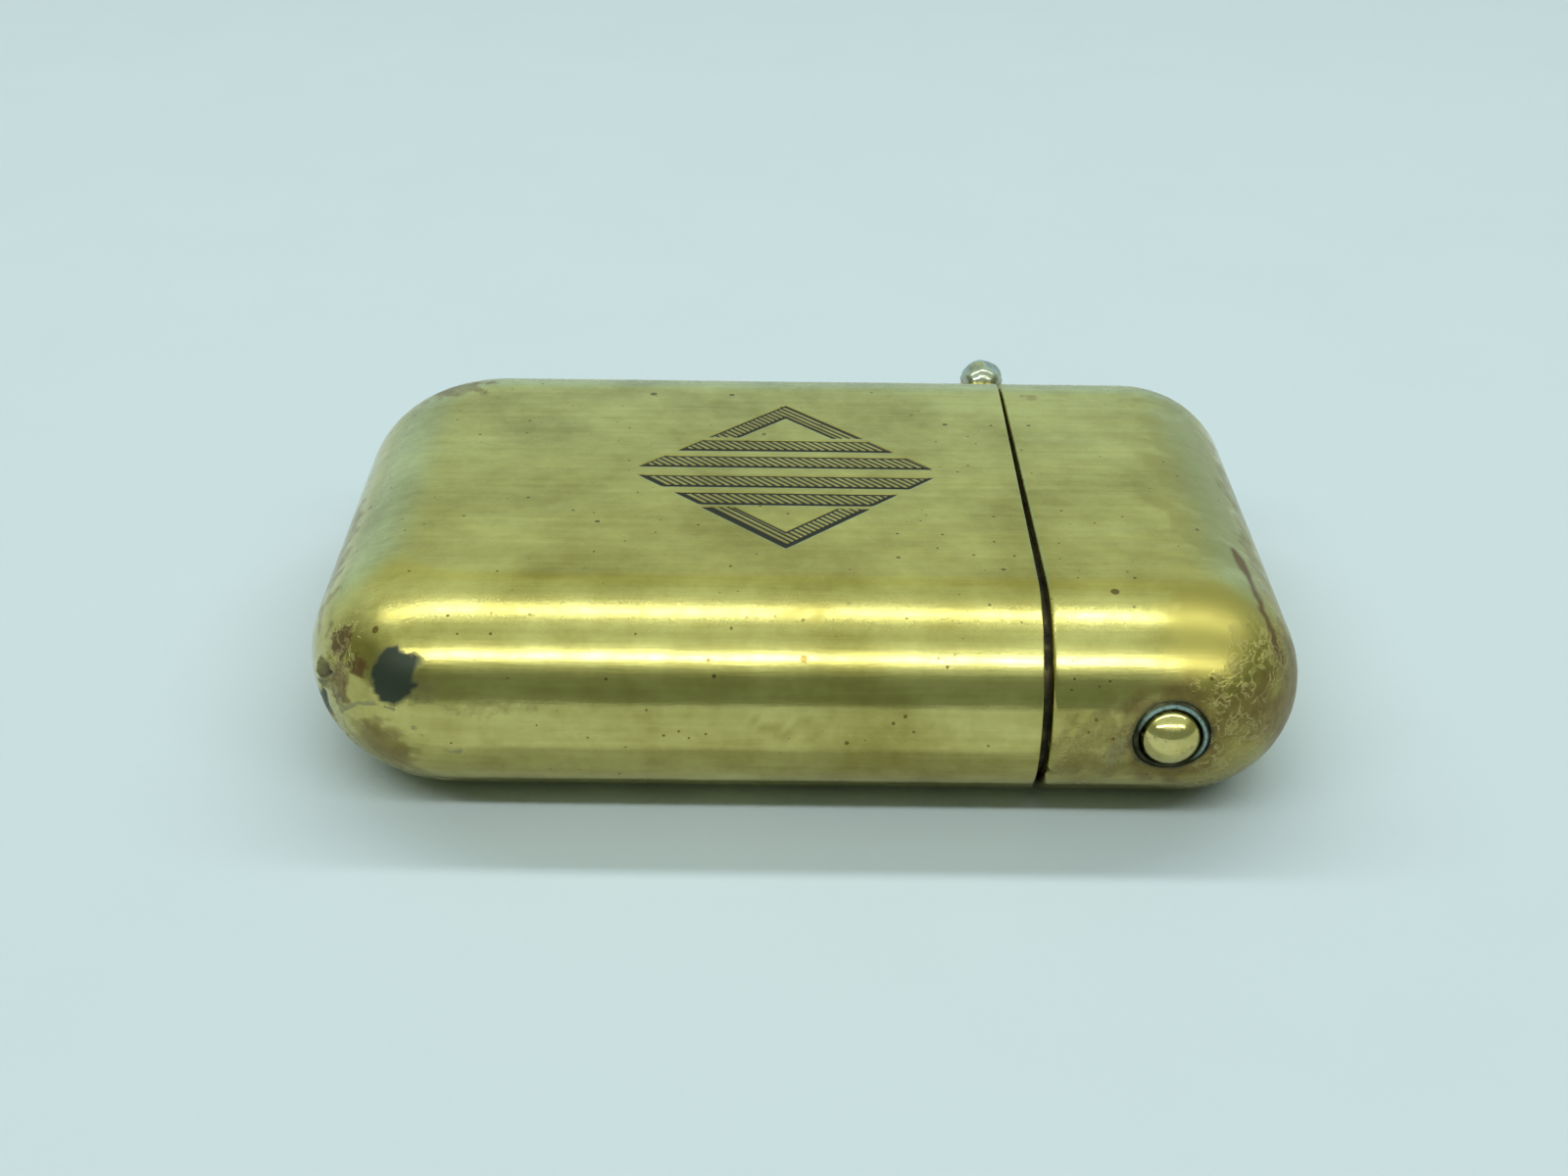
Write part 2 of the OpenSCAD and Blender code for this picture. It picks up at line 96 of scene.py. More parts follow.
def seam(points, stops, width, seed, wander=0.25):
    # 1 along a wandering line through the stops, 0 away from it
    moved = points + wander * np.stack([waves(points, 1.3, seed + k) for k in range(3)], 1)
    nearest = np.full(len(points), 1e9)
    for a, b in zip(stops[:-1], stops[1:]):
        a, b = np.array(a), np.array(b)
        t = np.clip((moved - a) @ (b - a) / ((b - a) @ (b - a)), 0, 1)
        nearest = np.minimum(nearest, np.linalg.norm(moved - a - t[:, None] * (b - a), axis=1))
    return 1 - smooth(width * 0.5, width * 1.3, nearest)


def makePiece(name, body, points, faces, material, layers=None, stands=()):
    # a mesh from points in mm, riding on its body (a piece that bends between two bodies rides on none)
    mesh = bpy.data.meshes.new(name)
    mesh.from_pydata((np.asarray(points) / 1000).tolist(), [], [list(map(int, f)) for f in faces])
    mesh.validate()
    shell = bmesh.new()
    shell.from_mesh(mesh)
    bmesh.ops.recalc_face_normals(shell, faces=shell.faces)
    shell.to_mesh(mesh)
    shell.free()
    mesh.shade_smooth()
    for layer, values in (layers or {}).items():
        mesh.attributes.new(layer, "FLOAT", "POINT").data.foreach_set("value", np.asarray(values, np.float32))
    mesh.materials.append(material)
    piece = bpy.data.objects.new(name, mesh)
    scene.collection.objects.link(piece)
    if body:
        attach(piece, body)
    if stands:
        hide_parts(*stands)
    return piece


def turnedShape(profile, start, axis, steps=64):
    # a closed turned solid: profile is (distance along the axis, radius), start is its zero point
    axis = np.array(axis, float)
    side = np.array([0, 0, 1.0]) if abs(axis[2]) < 0.5 else np.array([1.0, 0, 0])
    across = np.cross(axis, side)
    angles = np.arange(steps) * 2 * np.pi / steps
    ring = np.cos(angles)[:, None] * side + np.sin(angles)[:, None] * across
    points, faces, rows = [], [], []
    for along, radius in profile:
        centre = np.array(start) + axis * along
        if radius < 1e-6:
            rows.append([len(points)])
            points.append(centre)
        else:
            rows.append(list(range(len(points), len(points) + steps)))
            points.extend(centre + radius * ring)
    for a, b in zip(rows[:-1], rows[1:]):
        for k in range(steps):
            n = (k + 1) % steps
            if len(a) == 1 and len(b) > 1:
                faces.append([a[0], b[n], b[k]])
            elif len(b) == 1 and len(a) > 1:
                faces.append([a[k], a[n], b[0]])
            elif len(a) > 1:
                faces.append([a[k], a[n], b[n], b[k]])
    if len(rows[0]) > 1 and profile[0] == profile[-1]:
        points = points[:-steps]     # a ring section: its last row is its first
        faces = [[i % len(points) for i in f] for f in faces]
    return np.array(points), faces


def arcStops(centre, radius, fromDeg, toDeg, count=8):
    # (along, radius) points of a rounded edge in a profile
    angles = np.radians(np.linspace(fromDeg, toDeg, count))
    return [(centre[0] + radius * math.cos(a), centre[1] + radius * math.sin(a)) for a in angles]


def addNode(tree, kind, inputs=None, **settings):
    # adds a node, sets it up and joins its inputs; a socket as a value is a link
    node = tree.nodes.new(kind)
    for key, value in settings.items():
        setattr(node, key, value)
    for key, value in (inputs or {}).items():
        if isinstance(value, bpy.types.NodeSocket):
            tree.links.new(value, node.inputs[key])
        else:
            node.inputs[key].default_value = value
    return node


def startMaterial(name):
    # an empty material, its output and its coordinates in mm
    material = bpy.data.materials.new(name)
    material.use_nodes = True
    tree = material.node_tree
    tree.nodes.clear()
    place = addNode(tree, "ShaderNodeTexCoord").outputs["Object"]
    inMm = addNode(tree, "ShaderNodeVectorMath", {0: place, "Scale": 1000.0}, operation="SCALE").outputs[0]
    return material, tree, inMm


def endMaterial(tree, shader):
    addNode(tree, "ShaderNodeOutputMaterial", {"Surface": shader.outputs[0]})


print("helpers ready")


camera = {
    "place": (-1.91, -113.8, 70.51),
    "right": (0.9999, -0.0002, 0.0134),
    "up": (-0.0115, 0.4997, 0.8661),
    "forward": (0.0069, 0.8662, -0.4996),
    "lens": 48.77,
}
lensData = bpy.data.cameras.new("camera")
lensData.lens = camera["lens"]
lensData.sensor_width = 36
lensData.clip_start = 0.005
cameraObject = bpy.data.objects.new("camera", lensData)
turn = Matrix([camera["right"], camera["up"], [-c for c in camera["forward"]]]).transposed()
cameraObject.matrix_world = Matrix.Translation(Vector(camera["place"]) / 1000) @ turn.to_4x4()
scene.collection.objects.link(cameraObject)
scene.camera = cameraObject


# Aged brass, drawn sheet: once polished, now satin from handling, with brown tarnish in the corners,
# small dark pits, fine rubbing marks along the case and green-grey stains.
agedBrass = {
    "bright": "#d2c67b",
    "dull": "#a4964f",
    "brown": "#6d5428",
    "green": "#363c2c",
    "crust": "#9a9460",
    "vein": "#b7a868",
    # near-black painted shade for the torn hole, the upper part of its fold and the bite in the lid's rim
    "recessShade": "#0c0c09",
    "cut": "#26271d",
    "roughness": 0.27,
    "edgeRoughness": 0.15,
}


def makeAgedBrass():
    look = agedBrass
    material, tree, mm = startMaterial("agedBrass")
    layer = {}
    for name in ("brown", "green", "crust", "veins", "recessShade", "cut", "edge", "stain"):
        layer[name] = addNode(tree, "ShaderNodeAttribute", attribute_name=name).outputs["Fac"]
    layer["cut"] = addNode(tree, "ShaderNodeMapRange", {"Value": layer["cut"], 2: 0.6}).outputs[0]
    cloud = addNode(tree, "ShaderNodeTexNoise",
                    {"Vector": mm, "Scale": 1 / 7.0, "Detail": 5.0, "Roughness": 0.6}).outputs["Fac"]
    mottle = addNode(tree, "ShaderNodeTexNoise",
                     {"Vector": mm, "Scale": 1 / 0.9, "Detail": 4.0, "Roughness": 0.65}).outputs["Fac"]
    grain = addNode(tree, "ShaderNodeTexNoise",
                    {"Vector": mm, "Scale": 1 / 0.12, "Detail": 2.0}).outputs["Fac"]
    # rubbing marks run along the case: long in X, about 0.1 mm across
    alongX = addNode(tree, "ShaderNodeVectorMath", {0: mm, 1: (0.35, 6.0, 6.0)},
                     operation="MULTIPLY").outputs[0]
    rubbing = addNode(tree, "ShaderNodeTexNoise",
                      {"Vector": alongX, "Scale": 1.0, "Detail": 3.0}).outputs["Fac"]
    # pits 0.1 to 0.3 mm across, thinned out by the cloud
    cells = addNode(tree, "ShaderNodeTexVoronoi", {"Vector": mm, "Scale": 1 / 1.9, "Randomness": 1.0})
    pitSize = addNode(tree, "ShaderNodeMapRange",
                      {"Value": cells.outputs["Color"], 1: 0.45, 2: 1.0, 3: 0.0, 4: 0.14})
    pit = addNode(tree, "ShaderNodeMath", {0: cells.outputs["Distance"], 1: pitSize.outputs[0]},
                  operation="LESS_THAN").outputs[0]
    # finer specks, about 0.1 mm, gather where the metal is duller
    specks = addNode(tree, "ShaderNodeTexVoronoi", {"Vector": mm, "Scale": 1 / 0.8, "Randomness": 1.0})
    speckSize = addNode(tree, "ShaderNodeMapRange",
                        {"Value": specks.outputs["Color"], 1: 0.35, 2: 1.0, 3: 0.0, 4: 0.3})
    speckSize = addNode(tree, "ShaderNodeMath", {0: speckSize.outputs[0], 1: cloud},
                        operation="MULTIPLY").outputs[0]
    speck = addNode(tree, "ShaderNodeMath", {0: specks.outputs["Distance"], 1: speckSize},
                    operation="LESS_THAN").outputs[0]
    pit = addNode(tree, "ShaderNodeMath", {0: pit, 1: speck}, operation="MAXIMUM").outputs[0]
    pitSoft = addNode(tree, "ShaderNodeMath", {0: pit, 1: 0.85}, operation="MULTIPLY").outputs[0]
    # duller streaks left by a pocket's cloth: 12 mm long, 0.5 mm across
    alongCase = addNode(tree, "ShaderNodeVectorMath", {0: mm, 1: (0.08, 1.9, 1.9)},
                        operation="MULTIPLY").outputs[0]
    streaks = addNode(tree, "ShaderNodeTexNoise",
                      {"Vector": alongCase, "Scale": 1.0, "Detail": 4.0, "Roughness": 0.7}).outputs["Fac"]

    def spread(name, low, high, breakup):
        # a painted layer broken up by noise
        mixed = addNode(tree, "ShaderNodeMath", {0: breakup, 1: 0.6, 2: layer[name]},
                        operation="MULTIPLY_ADD").outputs[0]
        return addNode(tree, "ShaderNodeMapRange", {"Value": mixed, 1: low, 2: high}).outputs[0]

    brown = spread("brown", 0.5, 1.1, mottle)
    green = spread("green", 0.4, 1.1, mottle)
    crust = spread("crust", 0.65, 0.95, grain)
    # lime-like veins about 0.1 mm wide that stand on the tarnish
    worm = addNode(tree, "ShaderNodeTexNoise",
                   {"Vector": mm, "Scale": 1 / 0.75, "Detail": 3.0, "Roughness": 0.55,
                   "Distortion": 0.8}).outputs["Fac"]
    worm = addNode(tree, "ShaderNodeMath", {0: worm, 1: 0.5}, operation="SUBTRACT").outputs[0]
    worm = addNode(tree, "ShaderNodeMath", {0: worm}, operation="ABSOLUTE").outputs[0]
    worm = addNode(tree, "ShaderNodeMapRange", {"Value": worm, 1: 0.045, 2: 0.005}).outputs[0]
    veins = addNode(tree, "ShaderNodeMath", {0: worm, 1: layer["veins"]}, operation="MULTIPLY").outputs[0]
    veins = addNode(tree, "ShaderNodeMath", {0: veins, 1: 0.85}, operation="MULTIPLY").outputs[0]
    tone = addNode(tree, "ShaderNodeMapRange", {"Value": cloud, 1: 0.3, 2: 0.7}).outputs[0]
    toneFine = addNode(tree, "ShaderNodeMath", {0: mottle, 1: 0.6, 2: tone},
                       operation="MULTIPLY_ADD").outputs[0]
    toneFine = addNode(tree, "ShaderNodeMath", {0: streaks, 1: 0.8, 2: toneFine},
                       operation="MULTIPLY_ADD").outputs[0]
    toneAll = addNode(tree, "ShaderNodeMath", {0: toneFine, 1: 0.7}, operation="SUBTRACT",
                      use_clamp=True).outputs[0]
    colour = addNode(tree, "ShaderNodeMix",
                     {0: toneAll, 6: toLinear(look["bright"]), 7: toLinear(look["dull"])},
                     data_type="RGBA").outputs[2]
    for mask, shade in ((layer["stain"], "dull"), (brown, "brown"), (green, "green"), (crust, "crust"),
                        (veins, "vein"), (pitSoft, "brown"), (layer["cut"], "cut"), (layer["recessShade"], "recessShade")):
        colour = addNode(tree, "ShaderNodeMix", {0: mask, 6: colour, 7: toLinear(look[shade])},
                         data_type="RGBA").outputs[2]
    # tarnish and crust are oxides, so the metal shine goes with them
    oxide = addNode(tree, "ShaderNodeMath", {0: brown, 1: 0.45, 2: crust},
                    operation="MULTIPLY_ADD").outputs[0]
    oxide = addNode(tree, "ShaderNodeMath", {0: green, 1: 0.6, 2: oxide}, operation="MULTIPLY_ADD").outputs[0]
    oxide = addNode(tree, "ShaderNodeMath", {0: veins, 1: 0.7, 2: oxide}, operation="MULTIPLY_ADD").outputs[0]
    oxide = addNode(tree, "ShaderNodeMath", {0: layer["cut"], 1: 0.9, 2: oxide},
                    operation="MULTIPLY_ADD").outputs[0]
    # the painted shade of the hole and creases loses its shine as well
    oxide = addNode(tree, "ShaderNodeMath", {0: layer["recessShade"], 1: oxide}, operation="ADD",
                    use_clamp=True).outputs[0]
    metal = addNode(tree, "ShaderNodeMath", {0: oxide, 1: -0.75, 2: 1.0}, operation="MULTIPLY_ADD").outputs[0]
    rough = addNode(tree, "ShaderNodeMapRange",
                    {"Value": layer["edge"], 3: look["roughness"], 4: look["edgeRoughness"]}).outputs[0]
    rough = addNode(tree, "ShaderNodeMath", {0: mottle, 1: 0.10, 2: rough},
                    operation="MULTIPLY_ADD").outputs[0]
    rough = addNode(tree, "ShaderNodeMath", {0: rough, 1: 0.05}, operation="SUBTRACT").outputs[0]
    rough = addNode(tree, "ShaderNodeMath", {0: layer["stain"], 1: 0.12, 2: rough},
                    operation="MULTIPLY_ADD").outputs[0]
    rough = addNode(tree, "ShaderNodeMath", {0: layer["cut"], 1: 0.2, 2: rough},
                    operation="MULTIPLY_ADD").outputs[0]
    rough = addNode(tree, "ShaderNodeMath", {0: oxide, 1: 0.4, 2: rough}, operation="MULTIPLY_ADD",
                    use_clamp=True).outputs[0]
    # bump heights are in metres
    height = addNode(tree, "ShaderNodeMath", {0: rubbing, 1: 0.0000032}, operation="MULTIPLY").outputs[0]
    for source, amount in ((grain, 0.0000021), (mottle, 0.0000018), (pit, -0.00001), (crust, 0.00002),
                           (veins, 0.000025), (brown, -0.000003)):
        height = addNode(tree, "ShaderNodeMath", {0: source, 1: amount, 2: height},
                         operation="MULTIPLY_ADD").outputs[0]
    bump = addNode(tree, "ShaderNodeBump", {"Height": height, "Strength": 1.0, "Distance": 1.0}).outputs[0]
    shader = addNode(tree, "ShaderNodeBsdfPrincipled",
                     {"Base Color": colour, "Metallic": metal, "Roughness": rough, "Normal": bump})
    endMaterial(tree, shader)
    return material


def makeMetal(name, bright, dull, roughness, patchMm=1.5, grainMm=0.08, dirt=None, dirtAmount=0.4,
              bumpMm=0.001, stretch=(1, 1, 1), dirtAndReflectionLayer=None):
    # plain metals: a bright and a dull tone in patches, fine grain and a little dirt
    material, tree, mm = startMaterial(name)
    patches = addNode(tree, "ShaderNodeTexNoise",
                      {"Vector": mm, "Scale": 1 / patchMm, "Detail": 5.0, "Roughness": 0.6}).outputs["Fac"]
    pulled = addNode(tree, "ShaderNodeVectorMath", {0: mm, 1: stretch}, operation="MULTIPLY").outputs[0]
    grain = addNode(tree, "ShaderNodeTexNoise",
                    {"Vector": pulled, "Scale": 1 / grainMm, "Detail": 2.0}).outputs["Fac"]
    tone = addNode(tree, "ShaderNodeMapRange", {"Value": patches, 1: 0.35, 2: 0.65}).outputs[0]
    colour = addNode(tree, "ShaderNodeMix", {0: tone, 6: toLinear(bright), 7: toLinear(dull)},
                     data_type="RGBA").outputs[2]
    rough = addNode(tree, "ShaderNodeMath", {0: tone, 1: 0.12, 2: roughness},
                    operation="MULTIPLY_ADD").outputs[0]
    inputs = {"Base Color": colour, "Metallic": 1.0, "Roughness": rough}
    if dirt:
        spread = addNode(tree, "ShaderNodeTexNoise",
                         {"Vector": mm, "Scale": 2.4 / patchMm, "Detail": 6.0,
                         "Roughness": 0.7}).outputs["Fac"]
        mask = addNode(tree, "ShaderNodeMapRange",
                       {"Value": spread, 1: 1 - dirtAmount - 0.12, 2: 1 - dirtAmount + 0.12}).outputs[0]
        # the layer limits the dirt to where an attribute says; on the collar this is a painted reflection as well
        # as salts, on its upper arc only
        if dirtAndReflectionLayer:
            where = addNode(tree, "ShaderNodeAttribute", attribute_name=dirtAndReflectionLayer).outputs["Fac"]
            mask = addNode(tree, "ShaderNodeMath", {0: mask, 1: where}, operation="MULTIPLY").outputs[0]
        inputs["Base Color"] = addNode(tree, "ShaderNodeMix", {0: mask, 6: colour, 7: toLinear(dirt)},
                                       data_type="RGBA").outputs[2]
        inputs["Metallic"] = addNode(tree, "ShaderNodeMath", {0: mask, 1: -0.85, 2: 1.0},
                                     operation="MULTIPLY_ADD").outputs[0]
        inputs["Roughness"] = addNode(tree, "ShaderNodeMath", {0: mask, 1: 0.4, 2: rough},
                                      operation="MULTIPLY_ADD", use_clamp=True).outputs[0]
    height = addNode(tree, "ShaderNodeMath", {0: grain, 1: bumpMm / 1000}, operation="MULTIPLY").outputs[0]
    height = addNode(tree, "ShaderNodeMath", {0: patches, 1: bumpMm / 400, 2: height},
                     operation="MULTIPLY_ADD").outputs[0]
    inputs["Normal"] = addNode(tree, "ShaderNodeBump",
                               {"Height": height, "Strength": 1.0, "Distance": 1.0}).outputs[0]
    endMaterial(tree, addNode(tree, "ShaderNodeBsdfPrincipled", inputs))
    return material


def makeFibre(name, light, dark, threadMm, bumpMm, scorch=None, scorchFromX=None):
    # cotton and leather: soft, no shine, with its fibres as bump
    material, tree, mm = startMaterial(name)
    fibres = addNode(tree, "ShaderNodeTexNoise",
                     {"Vector": mm, "Scale": 1 / threadMm, "Detail": 6.0, "Roughness": 0.7,
                     "Distortion": 0.6}).outputs["Fac"]
    tone = addNode(tree, "ShaderNodeMapRange", {"Value": fibres, 1: 0.3, 2: 0.7}).outputs[0]
    colour = addNode(tree, "ShaderNodeMix", {0: tone, 6: toLinear(dark), 7: toLinear(light)},
                     data_type="RGBA").outputs[2]
    if scorch:
        along = addNode(tree, "ShaderNodeSeparateXYZ", {0: mm}).outputs[0]
        burnt = addNode(tree, "ShaderNodeMath", {0: fibres, 1: 1.6, 2: along},
                        operation="MULTIPLY_ADD").outputs[0]
        mask = addNode(tree, "ShaderNodeMapRange",
                       {"Value": burnt, 1: scorchFromX + 0.3, 2: scorchFromX + 1.5}).outputs[0]
        colour = addNode(tree, "ShaderNodeMix", {0: mask, 6: colour, 7: toLinear(scorch)},
                         data_type="RGBA").outputs[2]
    height = addNode(tree, "ShaderNodeMath", {0: fibres, 1: bumpMm / 1000}, operation="MULTIPLY").outputs[0]
    bump = addNode(tree, "ShaderNodeBump", {"Height": height, "Strength": 1.0, "Distance": 1.0}).outputs[0]
    shader = addNode(tree, "ShaderNodeBsdfPrincipled",
                     {"Base Color": colour, "Roughness": 0.9, "Normal": bump, "Sheen Weight": 0.2,
                     "Sheen Roughness": 0.5})
    endMaterial(tree, shader)
    return material


# what each finish is and how it reads
brassSheet = makeAgedBrass()
# turned brass kept bright by the thumb
polishedBrass = makeMetal("polishedBrass", "#ddcf88", "#c2b26a", 0.07, patchMm=1.4, dirt="#4f4020",
                          dirtAmount=0.32, bumpMm=0.0025)
# brass that is never rubbed, brown-grey and soot-stained
tarnishedBrass = makeMetal("tarnishedBrass", "#6f6547", "#3b382c", 0.38, patchMm=1.2, dirt="#1d1b16",
                           dirtAmount=0.42)
# clean brass of the inner works, a little dull
worksBrass = makeMetal("worksBrass", "#b9a563", "#8a7a44", 0.26, patchMm=1.6, dirt="#4e3a1c", dirtAmount=0.3)
# brass with green copper salts in the recess around the button; its pale blue-grey salts lie only on the collar's
# upper arc, where they are also a painted reflection
verdigrisBrassAndReflection = makeMetal("verdigrisBrassAndReflection", "#4d4c34", "#23241b", 0.3, patchMm=0.5, dirt="#96b3ad",
                           dirtAmount=0.62, bumpMm=0.004, dirtAndReflectionLayer="saltAndReflection")
# nickel silver pin, silvery with a yellow cast
nickelSilver = makeMetal("nickelSilver", "#c3c6b4", "#95967c", 0.14, patchMm=1.0, dirt="#4d442b",
                         dirtAmount=0.3, bumpMm=0.0008)
# blued and rubbed spring steel
springSteel = makeMetal("springSteel", "#9b9d9c", "#5f6266", 0.22, patchMm=1.2, dirt="#3a2d1f",
                        dirtAmount=0.25)
# hardened steel wheel with soot in its teeth
wheelSteel = makeMetal("wheelSteel", "#7d7b77", "#43413d", 0.3, patchMm=0.6, dirt="#15130f", dirtAmount=0.45,
                       bumpMm=0.003)
# ferrocerium: dark grey, chalky where it has been scraped
ferrocerium = makeMetal("ferrocerium", "#6a6762", "#3d3a37", 0.5, patchMm=0.4, grainMm=0.05, dirt="#2a211a",
                        dirtAmount=0.5, bumpMm=0.01)
cottonPacking = makeFibre("cottonPacking", "#efe9d8", "#b9af96", 0.5, 0.15)
# braided cotton, scorched at its tip
braidedCotton = makeFibre("braidedCotton", "#ded2b2", "#8d7f5f", 0.14, 0.03, scorch="#17130e",
                          scorchFromX=18.1)
oiledLeather = makeFibre("oiledLeather", "#6b4527", "#3a2413", 0.25, 0.02)
print("materials ready")


caseShape = {
    "bodyCorner": 2.6,      # corner radius in plan beyond the edge's own radius
    "lidCorner": 0.6,
    "bodyWall": 0.9,
    "lidWall": 0.6,
    "shutFar": 0.08,        # width of the shut line at the hinge side
    "shutNear": 0.45,       # and at the button side
    "cell": 0.42,           # size of a mesh cell
    "ripple": 0.016,        # height of the slow waves that handling left in the sheet
    "peel": 0.0035,         # height of the fine waves
    "lip": 0.08,            # rounding of the body's rim
    "lidLip": 0.38,         # and of the lid's, which is more worn
    "buttonBore": 2.2,          # radius of the hole the collar fills in the lid's near wall
}
lozenge = {
    "centre": (-1.0, 0.45),
    "halfLength": 9.45,
    "halfWidth": 9.3,
    "bars": ((0.07, 0.21), (0.31, 0.45)),     # hatched bars, as shares of the half width
    "chevron": (0.82, 1.0),                   # strips at the two tips
    "hatchStep": 0.504,                       # between hatch lines along the case, drawn a little coarser than real
    "lineDepth": 0.05,
    "hatchDepth": 0.028,
}
caseLow, caseHigh = boxOf("case_shell")
lidHigh = boxOf("lid_shell")[1]
edgeR = (caseHigh[2] - caseLow[2]) / 2
halfW = (caseHigh[1] - caseLow[1]) / 2
partX = caseHigh[0]


def cutDepth(x, y):
    # how deep the ornament is cut at a point of the top face, and how dark it looks
    u = (x - lozenge["centre"][0]) / lozenge["halfLength"]
    v = (y - lozenge["centre"][1]) / lozenge["halfWidth"]
    d = np.abs(u) + np.abs(v)
    mmV = lozenge["halfWidth"]
    thin, thick = 0.09, 0.26
    hatch = np.abs(((x + y) / lozenge["hatchStep"] + 0.5) % 1 - 0.5) * lozenge["hatchStep"]
    hatch = 1 - smooth(0.03, 0.15, hatch)
    depth = np.zeros_like(x)
    dark = np.zeros_like(x)

    def band(low, high, value):
        # 1 between two limits given in mm
        return smooth(low - 0.04, low + 0.04, value) * (1 - smooth(high - 0.04, high + 0.04, value))

    def strip(inside, lineTop, lineFoot):
        # a hatched strip with a fine line on its upper side and shading on its lower side
        nonlocal depth, dark
        depth = np.maximum(depth, inside * hatch * lozenge["hatchDepth"])
        dark = np.maximum(dark, inside * (0.10 + 0.85 * hatch))
        depth = np.maximum(depth, lineTop * lozenge["lineDepth"])
        dark = np.maximum(dark, lineTop)
        depth = np.maximum(depth, lineFoot * lozenge["lineDepth"])
        dark = np.maximum(dark, lineFoot * 0.8)

    inner = 1 - smooth(0.985, 1.0, d)
    for low, high in lozenge["bars"]:
        for side in (-1, 1):
            lower, upper = (low, high) if side > 0 else (-high, -low)
            yy = v * mmV
            strip(band(lower * mmV, upper * mmV, yy) * inner,
                  band(upper * mmV - thin, upper * mmV + thin * 0.3, yy) * inner,
                  band(lower * mmV - thick * 0.5, lower * mmV + thick * 0.5, yy) * inner)
    low, high = lozenge["chevron"]
    across = d * mmV / math.sqrt(2)
    lowMm, highMm = low * mmV / math.sqrt(2), high * mmV / math.sqrt(2)
    tips = smooth(lozenge["bars"][1][1] + 0.045, lozenge["bars"][1][1] + 0.055, np.abs(v))
    up = (v > 0)
    strip(band(lowMm, highMm, across) * tips,
          np.where(up, band(highMm - thin, highMm + thin * 0.3, across),
                   band(lowMm - thin * 0.3, lowMm + thin, across)) * tips,
          np.where(up, band(lowMm - thick * 0.4, lowMm + thick * 0.5, across),
                   band(highMm - thick * 0.7, highMm + thick * 0.6, across)) * tips)
    # fine outline beside the bars, heavier below the middle
    sides = 1 - tips
    outline = np.where(up, band(highMm - thin, highMm, across), band(highMm - thick, highMm, across)) * sides
    inBars = np.zeros_like(x)
    for low, high in lozenge["bars"]:
        inBars = np.maximum(inBars,
                            smooth(low - 0.02, low, np.abs(v)) * (1 - smooth(high, high + 0.02, np.abs(v))))
    outline = outline * inBars
    depth = np.maximum(depth, outline * lozenge["lineDepth"])
    dark = np.maximum(dark, outline * 0.8)
    return depth, dark


def gridSheet(wide, high, refine, fine):
    # faces of a grid whose marked cells are cut finer; points are (u, v) in cells
    seen, points, faces = {}, [], []

    def point(a, b):
        key = (a, b)
        if key not in seen:
            seen[key] = len(points)
            points.append((a / fine, b / fine))
        return seen[key]

    marked = np.zeros((wide + 2, high + 2), bool)
    marked[1:-1, 1:-1] = refine
    for i in range(wide):
        for j in range(high):
            if marked[i + 1, j + 1]:
                for a in range(i * fine, i * fine + fine):
                    for b in range(j * fine, j * fine + fine):
                        faces.append([point(a, b), point(a + 1, b), point(a + 1, b + 1), point(a, b + 1)])
    for i in range(wide):
        for j in range(high):
            if marked[i + 1, j + 1]:
                continue
            a, b = i * fine, j * fine
            loop = [point(a, b)]
            for k in range(1, fine):
                if marked[i + 1, j]:
                    loop.append(point(a + k, b))
            loop.append(point(a + fine, b))
            for k in range(1, fine):
                if marked[i + 2, j + 1]:
                    loop.append(point(a + fine, b + k))
            loop.append(point(a + fine, b + fine))
            for k in range(fine - 1, 0, -1):
                if marked[i + 1, j + 2]:
                    loop.append(point(a + k, b + fine))
            loop.append(point(a, b + fine))
            for k in range(fine - 1, 0, -1):
                if marked[i, j + 1]:
                    loop.append(point(a, b + k))
            faces.append(loop)
    return np.array(points, float), faces


def weld(parts):
    # joins sheets that share their border points
    points = np.concatenate([p for p, _, _ in parts])
    extra = np.concatenate([e for _, _, e in parts])
    faces, start = [], 0
    for p, f, _ in parts:
        faces += [[i + start for i in face] for face in f]
        start += len(p)
    keys = np.round(points * 5000).astype(np.int64)
    _, first, back = np.unique(keys, axis=0, return_index=True, return_inverse=True)
    back = back.reshape(-1)
    faces = [[int(back[i]) for i in face] for face in faces]
    tidy = []
    for face in faces:
        loop = [a for k, a in enumerate(face) if a != face[k - 1]]
        if len(loop) > 2:
            tidy.append(loop)
    return points[first], tidy, extra[first]


